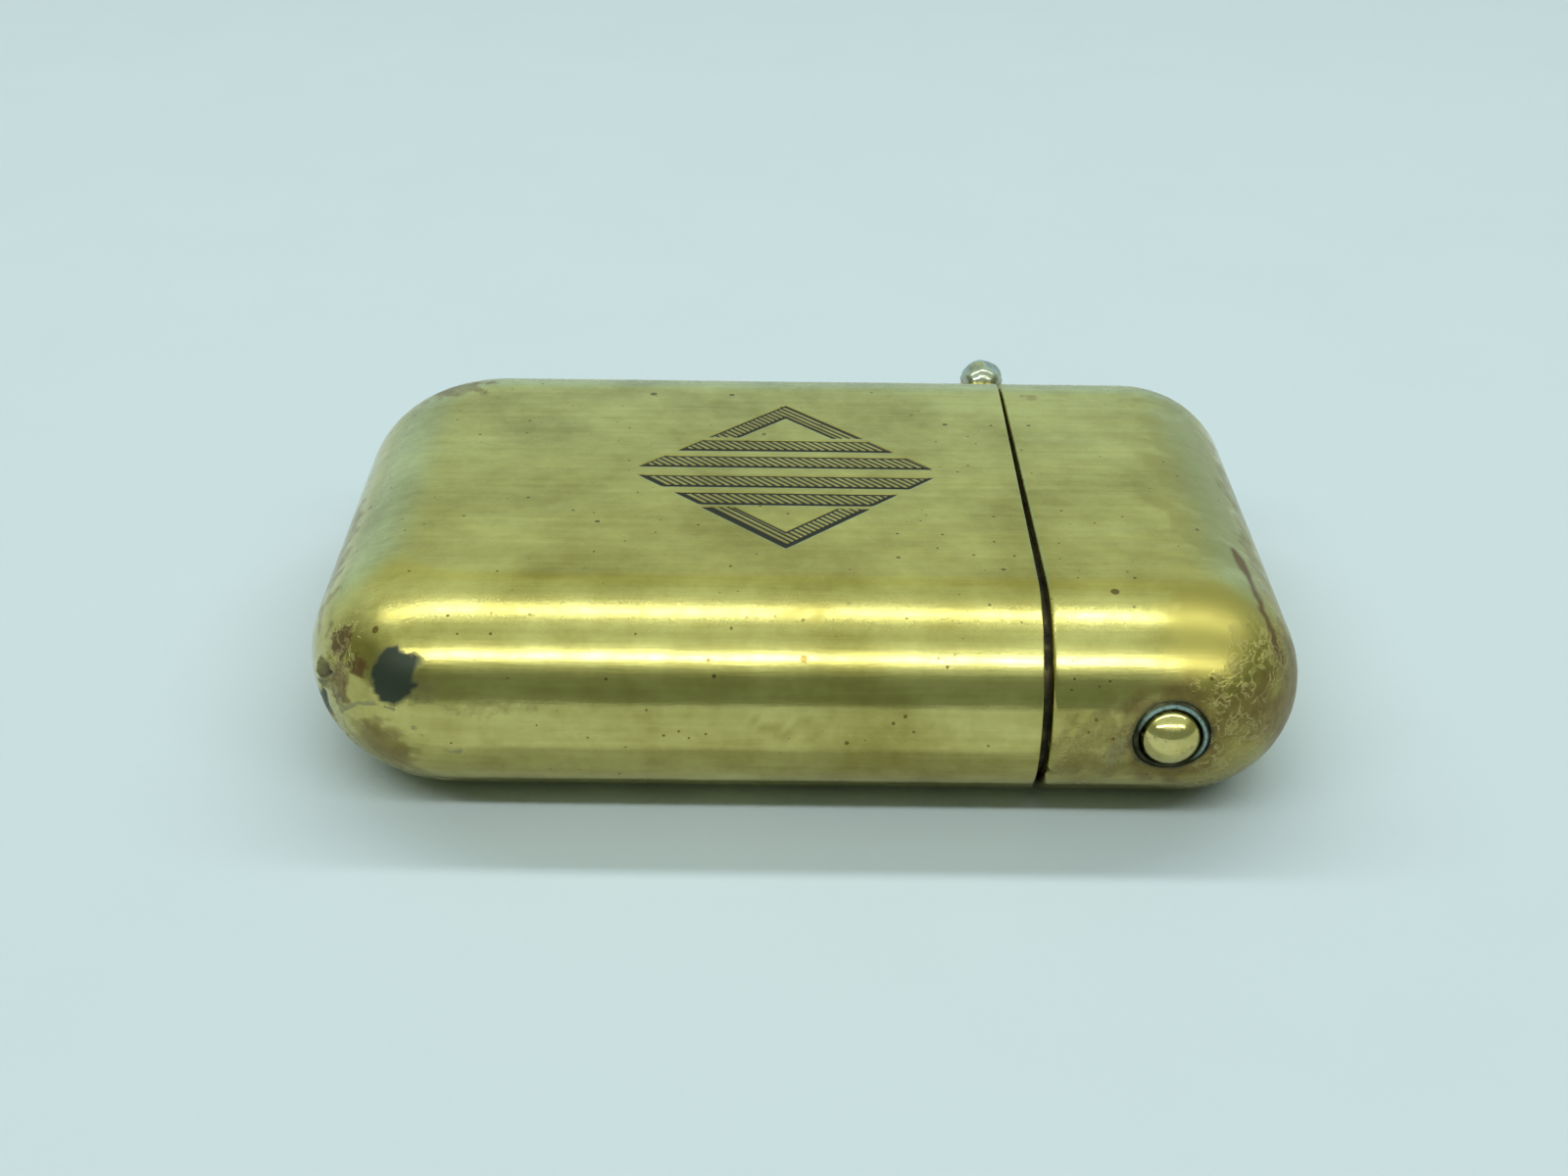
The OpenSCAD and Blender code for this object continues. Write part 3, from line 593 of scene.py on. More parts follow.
def pebbleHalf(length, corner, inset, cell, arcCells, ringCells, refineTop=None, refineEdge=None, fineTop=1,
               fineEdge=1, lip=()):
    # one half of the case as a sheet: t runs from its open rim to its closed end
    # returns points (t, y, z), outward directions, faces and the rim's border in order
    r = edgeR - inset
    lineY = halfW - edgeR
    lineEnd = length - edgeR
    arcT, arcY = lineEnd - corner, lineY - corner
    straight = max(2, round(arcT / cell))
    rim = sorted(set(lip))
    tStops = np.array(rim + [v for v in np.linspace(0, arcT,
            straight + 1) if v > (rim[-1] + 0.1 if rim else -1)])
    if tStops[0] > 0:
        tStops = np.concatenate([[0], tStops])
    straight = len(tStops) - 1
    columns = straight + arcCells
    rows = max(4, round(2 * lineY / cell)) // 2 * 2

    def column(u):
        # middle line at a column: t, half width and the direction it faces
        whole = np.clip(u, 0, straight)
        t = np.interp(whole, np.arange(straight + 1), tStops)
        angle = np.clip(u - straight, 0, arcCells) / arcCells * math.pi / 2
        t = np.where(u > straight, arcT + corner * np.sin(angle), t)
        y = np.where(u > straight, arcY + corner * np.cos(angle), lineY)
        return t, y, np.sin(angle), np.cos(angle)

    def flat(uv, top):
        t, y, _, _ = column(uv[:, 0])
        share = 1 - 2 * uv[:, 1] / rows
        z = np.full(len(t), edgeR + (r if top else -r))
        facing = np.zeros((len(t), 3))
        facing[:, 2] = 1 if top else -1
        return np.stack([t, y * share, z], 1), facing

    def rolled(uv):
        # u runs from the far rim round the closed end to the near rim
        u = uv[:, 0]
        end = rows
        t1, y1, s1, c1 = column(np.clip(u, 0, columns))
        t2, y2, s2, c2 = column(np.clip(2 * columns + end - u, 0, columns))
        share = np.clip((u - columns) / end, 0, 1)
        farSide, nearSide = u <= columns, u >= columns + end
        t = np.where(farSide, t1, np.where(nearSide, t2, lineEnd))
        y = np.where(farSide, y1, np.where(nearSide, -y2, arcY * (1 - 2 * share)))
        nt = np.where(farSide, s1, np.where(nearSide, s2, 1))
        ny = np.where(farSide, c1, np.where(nearSide, -c2, 0))
        angle = uv[:, 1] / ringCells * math.pi
        facing = np.stack([nt * np.sin(angle), ny * np.sin(angle), np.cos(angle)], 1)
        centre = np.stack([t, y, np.full(len(t), edgeR)], 1)
        return centre + r * facing, facing

    around = 2 * columns + rows
    markTop = np.zeros((columns, rows), bool)
    if refineTop is not None:
        i, j = np.meshgrid(np.arange(columns) + 0.5, np.arange(rows) + 0.5, indexing="ij")
        place, _ = flat(np.stack([i.ravel(), j.ravel()], 1), True)
        markTop = refineTop(place).reshape(columns, rows)
        markTop[-1], markTop[:, 0], markTop[:, -1], markTop[0] = False, False, False, False
    markEdge = np.zeros((around, ringCells), bool)
    if refineEdge is not None:
        i, j = np.meshgrid(np.arange(around) + 0.5, np.arange(ringCells) + 0.5, indexing="ij")
        place, _ = rolled(np.stack([i.ravel(), j.ravel()], 1))
        markEdge = refineEdge(place).reshape(around, ringCells)
        markEdge[:, 0], markEdge[:, -1], markEdge[0], markEdge[-1] = False, False, False, False
    parts = []
    for top in (True, False):
        uv, faces = gridSheet(columns, rows, markTop if top else markTop & False, fineTop if top else 1)
        place, facing = flat(uv, top)
        parts.append((place, faces if not top else [f[::-1] for f in faces], facing))
    uv, faces = gridSheet(around, ringCells, markEdge, fineEdge)
    place, facing = rolled(uv)
    parts.append((place, faces, facing))
    return weld(parts)


def rimOrder(points):
    # the rim's points in order round the case, with their place round it
    onRim = np.where(points[:, 0] < 1e-6)[0]
    y, z = points[onRim, 1], points[onRim, 2] - edgeR
    lineY = halfW - edgeR
    place = np.where(np.abs(y) <= lineY + 1e-6,
                     np.where(z > 0, 0 + (lineY - y) / (2 * lineY), 2 + (y + lineY) / (2 * lineY)),
                     np.where(y < 0, 1 + np.arctan2(-(y + lineY), z) / math.pi,
                              3 + np.arctan2(y - lineY, -z) / math.pi))
    place = place % 4
    order = np.argsort(place)
    return onRim[order], place[order]


def zipLoops(a, placeA, b, placeB, whole):
    # triangles between two closed loops of different counts
    faces, i, j = [], 0, 0
    nextA = np.concatenate([placeA, [placeA[0] + whole]])
    nextB = np.concatenate([placeB, [placeB[0] + whole]])
    while i < len(a) or j < len(b):
        if j == len(b) or (i < len(a) and nextA[i + 1] <= nextB[j + 1]):
            faces.append([a[i], a[(i + 1) % len(a)], b[j % len(b)]])
            i += 1
        else:
            faces.append([a[i % len(a)], b[(j + 1) % len(b)], b[j]])
            j += 1
    return faces


def boundaryLoop(faces):
    # directed border edges of a set of faces
    edges = set()
    for face in faces:
        for k, a in enumerate(face):
            edges.add((face[k - 1], a))
    return {a: b for a, b in edges if (b, a) not in edges}


print("case maths ready")


def buildBody():
    s = caseShape
    length = partX - caseLow[0]

    def inLozenge(p):
        x = partX - p[:, 0]
        u = (x - lozenge["centre"][0]) / lozenge["halfLength"]
        v = (p[:, 1] - lozenge["centre"][1]) / lozenge["halfWidth"]
        return np.abs(u) + np.abs(v) < 1.06

    def nearTear(p):
        x = partX - p[:, 0]
        return (x < -20.6) & (p[:, 1] < -10.5) & (p[:, 2] > 0.6) & (p[:, 2] < 11.8)

    lipStops = [0, 0.02, 0.05, s["lip"]]
    outer, outerFaces, facing = pebbleHalf(length, s["bodyCorner"], 0, s["cell"], 12, 44, inLozenge, nearTear,
                                           5, 3, lipStops)
    inner, innerFaces, _ = pebbleHalf(length, s["bodyCorner"], s["bodyWall"], 2.2, 4, 14)
    outer = outer.copy()
    t = outer[:, 0].copy()
    place = outer * [-1, 1, 1] + [partX, 0, 0]
    facing = facing * [-1, 1, 1]
    facing /= np.linalg.norm(facing, axis=1, keepdims=True)
    # handling marks: slow waves and a fine peel, always inwards
    sink = s["ripple"] * (0.5 + 0.5 * waves(place * [0.55, 1, 1], 7.0,
                                            11)) + s["peel"] * (1 + waves(place * [0.6, 1, 1], 1.7, 12))
    sink *= smooth(0, 1.5, t) * 0.9 + 0.1
    # rounded lip at the mouth
    sink += np.where(t < s["lip"], s["lip"] - np.sqrt(np.clip(s["lip"] ** 2 - (s["lip"] - t) ** 2, 0, None)),
                     0)
    onTop = (facing[:, 2] > 0.999)
    depth, dark = cutDepth(place[:, 0], place[:, 1])
    depth, dark = np.where(onTop, depth, 0), np.where(onTop, dark, 0)
    sink += depth
    # the torn corner: a hole with curled lips, a fold below it and ridges of crust; the hole is a shallow pit
    # painted near-black as painted shade
    tear = (-26.45, -14.35, 7.55)
    hole = spot(place, tear, (0.9, 0.6, 0.62), 21, 0.25, 0.7)
    lipRing = spot(place, tear, (1.25, 0.95, 1.0), 21, 0.3, 0.7) * (1 - hole)
    fold = seam(place, [(-26.6, -13.9, 7.0), (-26.5, -14.3, 5.5), (-25.9, -14.9, 3.6)], 0.32, 31, 0.2)
    ridges = np.maximum(
        seam(place, [(-26.1, -14.5, 8.5), (-25.7, -15.3, 7.4), (-25.4, -15.8, 6.5), (-25.2, -15.6, 5.2),
                     (-25.3, -14.9, 3.4)], 0.22, 41, 0.3),
        seam(place, [(-25.2, -16.1, 6.2), (-24.3, -16.7, 7.0), (-23.4, -17.2, 7.4), (-21.8, -17.9, 7.2),
                     (-20.6, -18.3, 6.1), (-19.3, -18.4, 5.1), (-17.4, -18.3, 4.7)], 0.15, 43, 0.2))
    sink += 0.75 * hole + 0.16 * fold
    sink -= 0.26 * lipRing * (0.45 + 0.55 * waves(place, 0.45, 23)) + 0.06 * ridges * (1 - fold)
    layers = {
        # painted shade: the pit and the upper part of the fold are darkened as if in shadow
        "recessShade": np.clip(hole * 1.3 + 0.5 * fold * (place[:, 2] > 6), 0, 1),
        "green": np.maximum.reduce([
            spot(place, (-22.1, -17.2, 9.1), (1.55, 1.3, 1.55), 51, 0.24, 1.3),
            0.35 * spot(place, (-20.4, -17.9, 8.6), (1.6, 1.0, 0.8), 53, 0.3, 1.2),
            0.8 * spot(place, (-26.7, -13.7, 5.2), (0.6, 1.0, 1.3), 52, 0.4)]),
        "brown": np.maximum.reduce([
            0.95 * spot(place, (-25.4, -14.7, 9.8), (0.9, 0.9, 1.1), 61, 0.35),
            0.8 * spot(place, (-24.3, -16.2, 9.1), (0.7, 0.7, 0.8), 62, 0.35),
            0.7 * spot(place, (-25.4, -15.6, 7.4), (1.0, 1.0, 1.6), 63, 0.35),
            0.5 * spot(place, (-23.0, -17.3, 4.8), (1.9, 2.0, 1.7), 64, 0.2, 1.2),
            0.08 * spot(place, (-20.6, -17.9, 2.8), (5.0, 2.0, 1.3), 60, 0.4, 2.0),
            0.24 * spot(place, (-17.0, -18.2, 7.9), (4.5, 1.0, 0.9), 59, 0.4, 2.0),
            0.6 * spot(place, (-22.5, 12.9, 12.3), (2.4, 2.2, 1.2), 65, 0.45, 1.4),
            0.5 * spot(place, (-26.9, -5.0, 9.6), (1.2, 7.5, 1.9), 66, 0.5, 1.6),
            0.08 * spot(place, (-13.0, -18.0, 5.8), (9.5, 1.6, 1.6), 67, 0.6, 3.5)]),
        "veins": np.maximum.reduce([
            0.7 * spot(place, (-25.5, -15.2, 3.4), (2.6, 2.4, 2.6), 68, 0.4, 1.0),
            0.6 * spot(place, (-25.6, -14.9, 9.0), (1.6, 1.6, 2.4), 69, 0.4, 1.0)]),
        "crust": np.maximum.reduce([
            ridges * 0.95, 0.9 * lipRing,
            0.85 * seam(place, [(-27.5, -9.0, 2.3), (-26.4, -13.2, 1.6), (-24.2, -15.9, 1.4),
                                (-20.0, -17.2, 1.6)], 0.45, 71, 0.5)]),
        "cut": dark,
        "edge": smooth(0.15, 0.6, 1 - facing[:, 2]) * 1.0,
        "stain": np.maximum.reduce([
            spot(place, (-23.2, -17.0, 4.1), (2.6, 2.0, 2.0), 81, 0.35),
            0.7 * seam(place, [(-1.0, -15.2, 11.9), (0.6, -15.6, 11.7), (0.8, -15.0, 12.0),
                               (-0.6, -14.9, 12.1)], 0.16, 82, 0.1),
            0.7 * seam(place, [(-2.6, -18.45, 7.1), (-1.2, -18.5, 6.3), (0.3, -18.5, 7.3), (0.9, -18.5, 6.2)],
                       0.3, 83, 0.3)]),
    }
    moved = place - facing * sink[:, None]
    rimOut, placeOut = rimOrder(outer)
    rimIn, placeIn = rimOrder(inner)
    innerPlace = inner * [-1, 1, 1] + [partX, 0, 0]
    start = len(moved)
    points = np.concatenate([moved, innerPlace])
    faces = list(outerFaces) + [[i + start for i in f[::-1]] for f in innerFaces]
    faces += [f[::-1] for f in zipLoops(list(rimOut), placeOut, [i + start for i in rimIn], placeIn, 4)]
    padded = {k: np.concatenate([v, np.zeros(len(innerPlace))]) for k, v in layers.items()}
    padded["stain"][start:] = 0.6
    faces = [f[::-1] for f in faces]
    return makePiece("caseBody", "case", points, faces, brassSheet, padded, ["case_shell"])


caseBody = buildBody()
print("case body", len(caseBody.data.polygons), "faces")


def buildLid():
    s = caseShape
    length = lidHigh[0] - partX
    buttonLow, buttonHigh = boxOf("button_collar")
    holeX = (buttonLow[0] + buttonHigh[0]) / 2
    holeR = s["buttonBore"]
    lineY, lineEnd = halfW - edgeR, length - edgeR
    arcT, arcY = lineEnd - s["lidCorner"], lineY - s["lidCorner"]

    def wallY(x, z, inset):
        # the near wall's y under a point
        q = np.sqrt(np.clip((edgeR - inset) ** 2 - (z - edgeR) ** 2, 0, None))
        past = np.clip(x - partX - arcT, 0, None)
        return -(arcY + np.sqrt(np.clip((s["lidCorner"] + q) ** 2 - past ** 2, 0, None)))

    def pierce(points, faces, inset):
        # takes out the faces over the button and squares the border up to its bore
        x, y, z = points[:, 0] + partX, points[:, 1], points[:, 2]
        away = np.hypot(x - holeX, z - edgeR)
        near = (y < -halfW + 4)
        keep, gone = [], []
        for f in faces:
            (gone if near[f].all() and away[f].mean() < holeR * 0.97 else keep).append(f)
        following = boundaryLoop(gone)
        loop = list(following)
        points = points.copy()
        for i in loop:
            reach = np.array([x[i] - holeX, z[i] - edgeR])
            reach *= holeR / np.linalg.norm(reach)
            points[i] = [holeX + reach[0] - partX, wallY(holeX + reach[0], edgeR + reach[1], inset),
                         edgeR + reach[1]]
        angle = np.arctan2(points[loop, 2] - edgeR, points[loop, 0] + partX - holeX)
        order = np.argsort(angle)
        return points, keep, [loop[k] for k in order], angle[order]

    def aroundButton(p):
        return (np.hypot(p[:, 0] + partX - holeX, p[:, 2] - edgeR) < holeR + 0.9) & (p[:, 1] < -halfW + 4)

    lip = s["lidLip"]
    lipStops = [0, 0.03, 0.08, 0.16, 0.26, lip]
    outer, outerFaces, facing = pebbleHalf(length, s["lidCorner"], 0, s["cell"], 16, 44, None, aroundButton,
                                           1, 3, lipStops)
    inner, innerFaces, _ = pebbleHalf(length, s["lidCorner"], s["lidWall"], 0.9, 8, 24)
    rimOut, placeOut = rimOrder(outer)
    rimIn, placeIn = rimOrder(inner)
    t = outer[:, 0].copy()
    outer, outerFaces, ringOut, angleOut = pierce(outer, outerFaces, 0)
    inner, innerFaces, ringIn, angleIn = pierce(inner, innerFaces, s["lidWall"])
    facing /= np.linalg.norm(facing, axis=1, keepdims=True)

    def gapAt(y):
        # the shut line is wider at the button side
        return s["shutFar"] + (s["shutNear"] - s["shutFar"]) * (halfW - y) / (2 * halfW)

    def setOff(points):
        share = 1 - smooth(0, arcT * 0.9, points[:, 0])
        place = points + [partX, 0, 0]
        place[:, 0] += gapAt(points[:, 1]) * share
        return place

    place = setOff(outer)
    bore = np.hypot(place[:, 0] - holeX, place[:, 2] - edgeR)
    sideways = (place[:, 1] < -halfW + 4)
    awayFromBore = np.where(sideways, smooth(holeR, holeR + 1.2, bore), 1)
    sink = s["ripple"] * (0.5 + 0.5 * waves(place * [0.55, 1, 1], 7.0,
                                            111)) + s["peel"] * (1 + waves(place * [0.6, 1, 1], 1.7, 112))
    sink *= (smooth(0, 1.5, t) * 0.9 + 0.1) * awayFromBore
    # the lid's rim is worn round
    sink += np.where(t < lip, lip - np.sqrt(np.clip(lip ** 2 - (lip - t) ** 2, 0, None)), 0)
    # the sheet is pressed in a little around the button's collar
    sink += np.where(sideways, 0.1 * (1 - smooth(holeR, holeR + 0.9, bore)), 0)
    # a small bite in the rim on the near side
    bite = spot(place, (partX + 0.35, -18.2, 3.7), (0.5, 0.9, 0.35), 121, 0.2)
    place[:, 0] += 0.16 * bite * (t < 0.5)
    streak = seam(place, [(24.75, -7.4, 11.85), (25.0, -10.0, 11.7), (25.2, -12.9, 11.4), (25.7, -14.3, 10.5),
                          (26.15, -14.9, 9.5)], 0.34, 131, 0.06)
    sink += 0.03 * streak
    layers = {
        # painted shade: the bite in the rim, where the shut gap shows, is darkened
        "recessShade": 0.5 * bite,
        "green": 0.55 * np.where(sideways, (1 - smooth(holeR, holeR + 0.3, bore)), 0),
        "brown": np.maximum.reduce([
            0.95 * streak,
            0.62 * spot(place, (26.4, -14.2, 6.4), (2.2, 3.6, 3.6), 141, 0.25, 2.0),
            0.6 * spot(place, (23.9, -16.8, 7.6), (3.0, 2.2, 2.0), 142, 0.35, 1.2),
            0.62 * np.where(sideways,
                            1 - smooth(holeR + 0.3, holeR + 2.2, bore + 0.5 * waves(place, 1.2, 144)), 0),
            0.45 * spot(place, (26.6, -3.0, 9.8), (1.6, 13.0, 2.2), 147, 0.5, 2.2),
            0.42 * spot(place, (15.9, -18.3, 5.6), (2.9, 1.2, 2.7), 148, 0.35, 1.6),
            0.5 * spot(place, (14.9, 11.5, 12.7), (0.7, 0.5, 0.4), 146, 0.4)]),
        "veins": np.maximum.reduce([
            spot(place, (23.3, -17.3, 6.2), (2.4, 2.0, 3.8), 151, 0.35, 0.9),
            0.8 * spot(place, (24.8, -15.4, 9.8), (1.8, 1.8, 1.9), 152, 0.5, 0.8),
            0.8 * spot(place, (26.3, -10.5, 10.6), (1.0, 4.0, 1.3), 153, 0.6, 0.9),
            0.6 * spot(place, (15.6, -18.3, 6.0), (2.4, 1.0, 1.3), 156, 0.5, 1.0)]),
        "crust": np.maximum.reduce([
            0.85 * spot(place, (16.6, -18.0, 3.4), (0.3, 0.4, 0.3), 154, 0.2),
            0.85 * spot(place, (15.4, -17.3, 2.4), (0.22, 0.4, 0.2), 155, 0.2),
            0.5 * spot(place, (17.0, -18.4, 5.4), (0.6, 0.8, 1.3), 145, 0.3, 0.9)]),
        "cut": np.zeros(len(place)),
        "edge": smooth(0.15, 0.6, 1 - facing[:, 2]),
        "stain": np.maximum.reduce([
            spot(place, (24.0, 0.0, 12.0), (3.0, 13.0, 2.0), 161, 0.5, 3.0) * 0.6,
            smooth(18.8, 20.6, place[:, 0] + 0.5 * waves(place, 1.0, 162)) * smooth(-11.5, -13.5,
                    place[:, 1])]),
    }
    moved = place - facing * sink[:, None]
    innerPlace = setOff(inner)
    start = len(moved)
    points = np.concatenate([moved, innerPlace])
    faces = list(outerFaces) + [[i + start for i in f[::-1]] for f in innerFaces]
    faces += [f[::-1] for f in zipLoops(list(rimOut), placeOut, [i + start for i in rimIn], placeIn, 4)]
    faces += zipLoops(ringOut, angleOut, [i + start for i in ringIn], angleIn, 2 * math.pi)
    padded = {k: np.concatenate([v, np.zeros(len(innerPlace))]) for k, v in layers.items()}
    padded["stain"][start:] = 0.6
    return makePiece("lidCover", "lid", points, faces, brassSheet, padded, ["lid_shell"])


lidCover = buildLid()
print("lid", len(lidCover.data.polygons), "faces")


buttonLow, buttonHigh = boxOf("push_button")
collarLow, collarHigh = boxOf("button_collar")
buttonX = (buttonLow[0] + buttonHigh[0]) / 2
buttonZ = (collarLow[2] + collarHigh[2]) / 2
collarR = (collarHigh[0] - collarLow[0]) / 2
domeR, domeHeight = 1.64, 1.0


def wallAt(z):
    # y of the near wall at a height
    return -(halfW - edgeR + np.sqrt(np.clip(edgeR ** 2 - (z - edgeR) ** 2, 0, None)))


def buildCollar():
    bore, eyelet, flange = domeR + 0.03, caseShape["buttonBore"] - 0.02, 0.62
    steps = 96
    # (radius, proud of the wall, follows the wall, pale salts): a dark groove, a crest with salts, a dark outer
    # gap, then the flange behind the sheet
    section = [(bore, -1.0, 0, 0), (bore, -0.3, 1, 0), (bore + 0.04, -0.2, 1, 0), (bore + 0.1, -0.05, 1, 0.4),
               (bore + 0.18, 0.03, 1, 1),
               (bore + 0.27, 0.0, 1, 0.7), (bore + 0.34, -0.09, 1, 0), (bore + 0.42, -0.17, 1, 0), (eyelet,
                       -0.2, 1, 0),
               (eyelet, -flange, 1, 0), (collarR, -flange, 1, 0), (collarR, -1.0, 0, 0)]
    points, faces, saltAndReflection = [], [], []
    for k in range(steps):
        a = 2 * math.pi * k / steps
        for radius, proud, follows, white in section:
            x, z = buttonX + radius * math.cos(a), buttonZ + radius * math.sin(a)
            y = wallAt(z) - proud if follows else collarHigh[1]
            points.append((x, y, z))
            # the pale salts are kept to the upper right of the ring: partly salts, partly a painted reflection of
            # the room on the crest
            saltAndReflection.append(white * float(smooth(-0.35, 0.35, math.sin(a + 0.55))))
    points = np.array(points)
    rough = 0.022 * waves(points, 0.5, 201) * (points[:, 1] < collarHigh[1] - 0.2)
    points[:, 1] += np.where(rough > 0, rough, rough * 0.6)
    points[:, 1] = np.maximum(points[:, 1], collarLow[1])
    n = len(section)
    for k in range(steps):
        m = (k + 1) % steps
        for j in range(n):
            i = (j + 1) % n
            faces.append([k * n + j, k * n + i, m * n + i, m * n + j])
    return makePiece("buttonCollar", "lid", points, faces, verdigrisBrassAndReflection, {"saltAndReflection": saltAndReflection},
                     ["button_collar"])


buttonCollar = buildCollar()


def buildButton():
    ball = (domeR ** 2 + domeHeight ** 2) / (2 * domeHeight)
    lift = math.asin(domeR / ball)
    domeShare = 0.93        # of the arc, the rest is the turned-over rim
    y0 = buttonLow[1]
    profile = []
    for a in np.linspace(0, lift * domeShare, 18):
        profile.append((ball * (1 - math.cos(a)), ball * math.sin(a)))
    profile += [(domeHeight + 0.02, domeR - 0.03), (domeHeight + 0.1, domeR)]
    flangeY = collarHigh[1] + 0.02 - y0
    total = buttonHigh[1] - y0
    nib = domeR / 2
    profile += [(flangeY - 0.02, domeR), (flangeY, domeR + 0.02), (flangeY, collarR - 0.04),
                (flangeY + 0.04, collarR),
                (flangeY + 0.21, collarR), (flangeY + 0.25, collarR - 0.04), (flangeY + 0.25,
                        nib + 0.05), (flangeY + 0.3, nib),
                (total - 0.06, nib), (total, nib - 0.06), (total, 0)]
    points, faces = turnedShape(profile, (buttonX, y0, buttonZ), (0, 1, 0), 96)
    return makePiece("pushButton", "button", points, faces, polishedBrass, None,
                     ["push_button"])


pushButton = buildButton()
print("button ready")


pinLow, pinHigh = boxOf("hinge_pin")
hingeX, hingeY = (pinLow[0] + pinHigh[0]) / 2, (pinLow[1] + pinHigh[1]) / 2
pinHeadR = (pinHigh[0] - pinLow[0]) / 2 - 0.01     # a hair under, so the true circle stays inside
pinHeadHeight, pinR = 1.3, 0.55


def buildPin():
    head = [(pinHeadHeight * (1 - math.cos(a)), pinHeadR * math.sin(a)) for a in np.linspace(0, math.pi / 2,
            16)]
    total = pinHigh[2] - pinLow[2]
    profile = head + [(pinHeadHeight, pinR), (total - pinHeadHeight, pinR)] + [(total - a, r) for a,
            r in head[::-1]]
    points, faces = turnedShape(profile, (hingeX, hingeY, pinLow[2]), (0, 0, 1), 48)
    # the heads were peened by hand: a few flats and hammer dents
    away = np.abs(points[:, 2] - (pinLow[2] + pinHigh[2]) / 2)
    onHead = away > total / 2 - pinHeadHeight + 0.05
    dent = (0.05 + 0.05 * waves(points, 1.1, 301)) * onHead
    pull = points - np.where(points[:, 2:3] > edgeR, [[hingeX, hingeY, pinHigh[2] - pinHeadHeight]],
                             [[hingeX, hingeY, pinLow[2] + pinHeadHeight]])
    size = np.linalg.norm(pull, axis=1, keepdims=True)
    points = points - np.where(onHead[:, None], pull / np.maximum(size, 1e-6) * dent[:, None], 0)
    for slope, reach in (((0.42, -0.1, 0.9), 1.12), ((-0.62, -0.2, 0.76), 1.22)):
        slope = np.array(slope) / np.linalg.norm(slope)
        for side in (1, -1):
            middle = np.array([hingeX, hingeY,
                               pinHigh[2] - pinHeadHeight if side > 0 else pinLow[2] + pinHeadHeight])
            over = (points - middle) @ (slope * [1, 1, side]) - reach
            over = np.clip(over, 0, None) * 0.8
            points = points - np.where(onHead, over, 0)[:, None] * (slope * [1, 1, side])
    return makePiece("hingePin", "case", points, faces, nickelSilver, None, ["hinge_pin"])


hingePin = buildPin()
print("hinge pin ready")


def alongX(node):
    # ends and axis of a piece that lies along the case, and its outer radius
    low, high = boxOf(node)
    return low[0], high[0], (low[1] + high[1]) / 2, (low[2] + high[2]) / 2, (high[1] - low[1]) / 2


def ringProfile(length, outer, inner, rounding):
    # section of a tube with rounded lips
    return [(length, inner + rounding), (length - rounding, inner), (rounding, inner), (0, inner + rounding),
            (0, outer - rounding), (rounding * 0.3, outer - rounding * 0.3), (rounding, outer),
            (length - rounding, outer), (length - rounding * 0.3, outer - rounding * 0.3), (length,
                    outer - rounding),
            (length, inner + rounding)]


def buildTube(name, node, body, wall, rounding, material):
    start, end, y, z, radius = alongX(node)
    points, faces = turnedShape(ringProfile(end - start, radius, radius - wall, rounding), (start, y, z),
                                (1, 0, 0), 64)
    return makePiece(name, body, points, faces, material, None, [node])


wickShape = {"strands": 5, "pitch": 2.6, "relief": 0.16, "rows": 170, "sides": 48}


def buildWick():
    w = wickShape
    start, end, y, z, radius = alongX("wick")
    points, faces = [], []
    for i in range(w["rows"] + 1):
        x = start + (end - start) * i / w["rows"]
        for k in range(w["sides"]):
            a = 2 * math.pi * k / w["sides"]
            left = abs(math.cos(0.5 * w["strands"] * a + math.pi * x / w["pitch"]))
            right = abs(math.cos(0.5 * w["strands"] * a - math.pi * x / w["pitch"]))
            over = math.sin(w["strands"] * a) * math.sin(2 * math.pi * x / w["pitch"]) > 0
            height = max(left * (1 if over else 0.8), right * (0.8 if over else 1)) ** 0.7
            r = radius * (1 - w["relief"] * (1 - height)) - 0.02
            points.append((x, y + r * math.cos(a), z + r * math.sin(a)))
    n = w["sides"]
    for i in range(w["rows"]):
        for k in range(n):
            m = (k + 1) % n
            faces.append([i * n + k, i * n + m, (i + 1) * n + m, (i + 1) * n + k])
    # frayed tip: rings that dome over, pulled about
    for step, share in enumerate((0.82, 0.6, 0.36, 0.14)):
        base = len(points)
        for k in range(n):
            a = 2 * math.pi * k / n
            tuft = 0.5 + 0.5 * math.cos(9 * a + 1.7 * step) * math.cos(4 * a)
            r = radius * share * (0.92 + 0.08 * tuft)
            points.append((end - 0.02 - 0.22 * tuft - 0.10 * (share > 0.7), y + r * math.cos(a),
                           z + r * math.sin(a)))
        for k in range(n):
            m = (k + 1) % n
            faces.append([base - n + k, base - n + m, base + m, base + k])
    base = len(points)
    points += [(end - 0.12, y, z), (start, y, z)]
    for k in range(n):
        m = (k + 1) % n
        faces.append([base - n + k, base - n + m, base])
        faces.append([m, k, base + 1])
    points = np.array(points)
    nearTip = points[:, 0] > end - 0.9
    points[nearTip, 0] -= 0.12 * (0.5 + 0.5 * waves(points[nearTip], 0.5, 401))
    return makePiece("wickBraid", "case", points, faces, braidedCotton, None, ["wick"])


buildWick()
buildTube("wickTube", "wick_tube", "case", 0.4, 0.12, worksBrass)


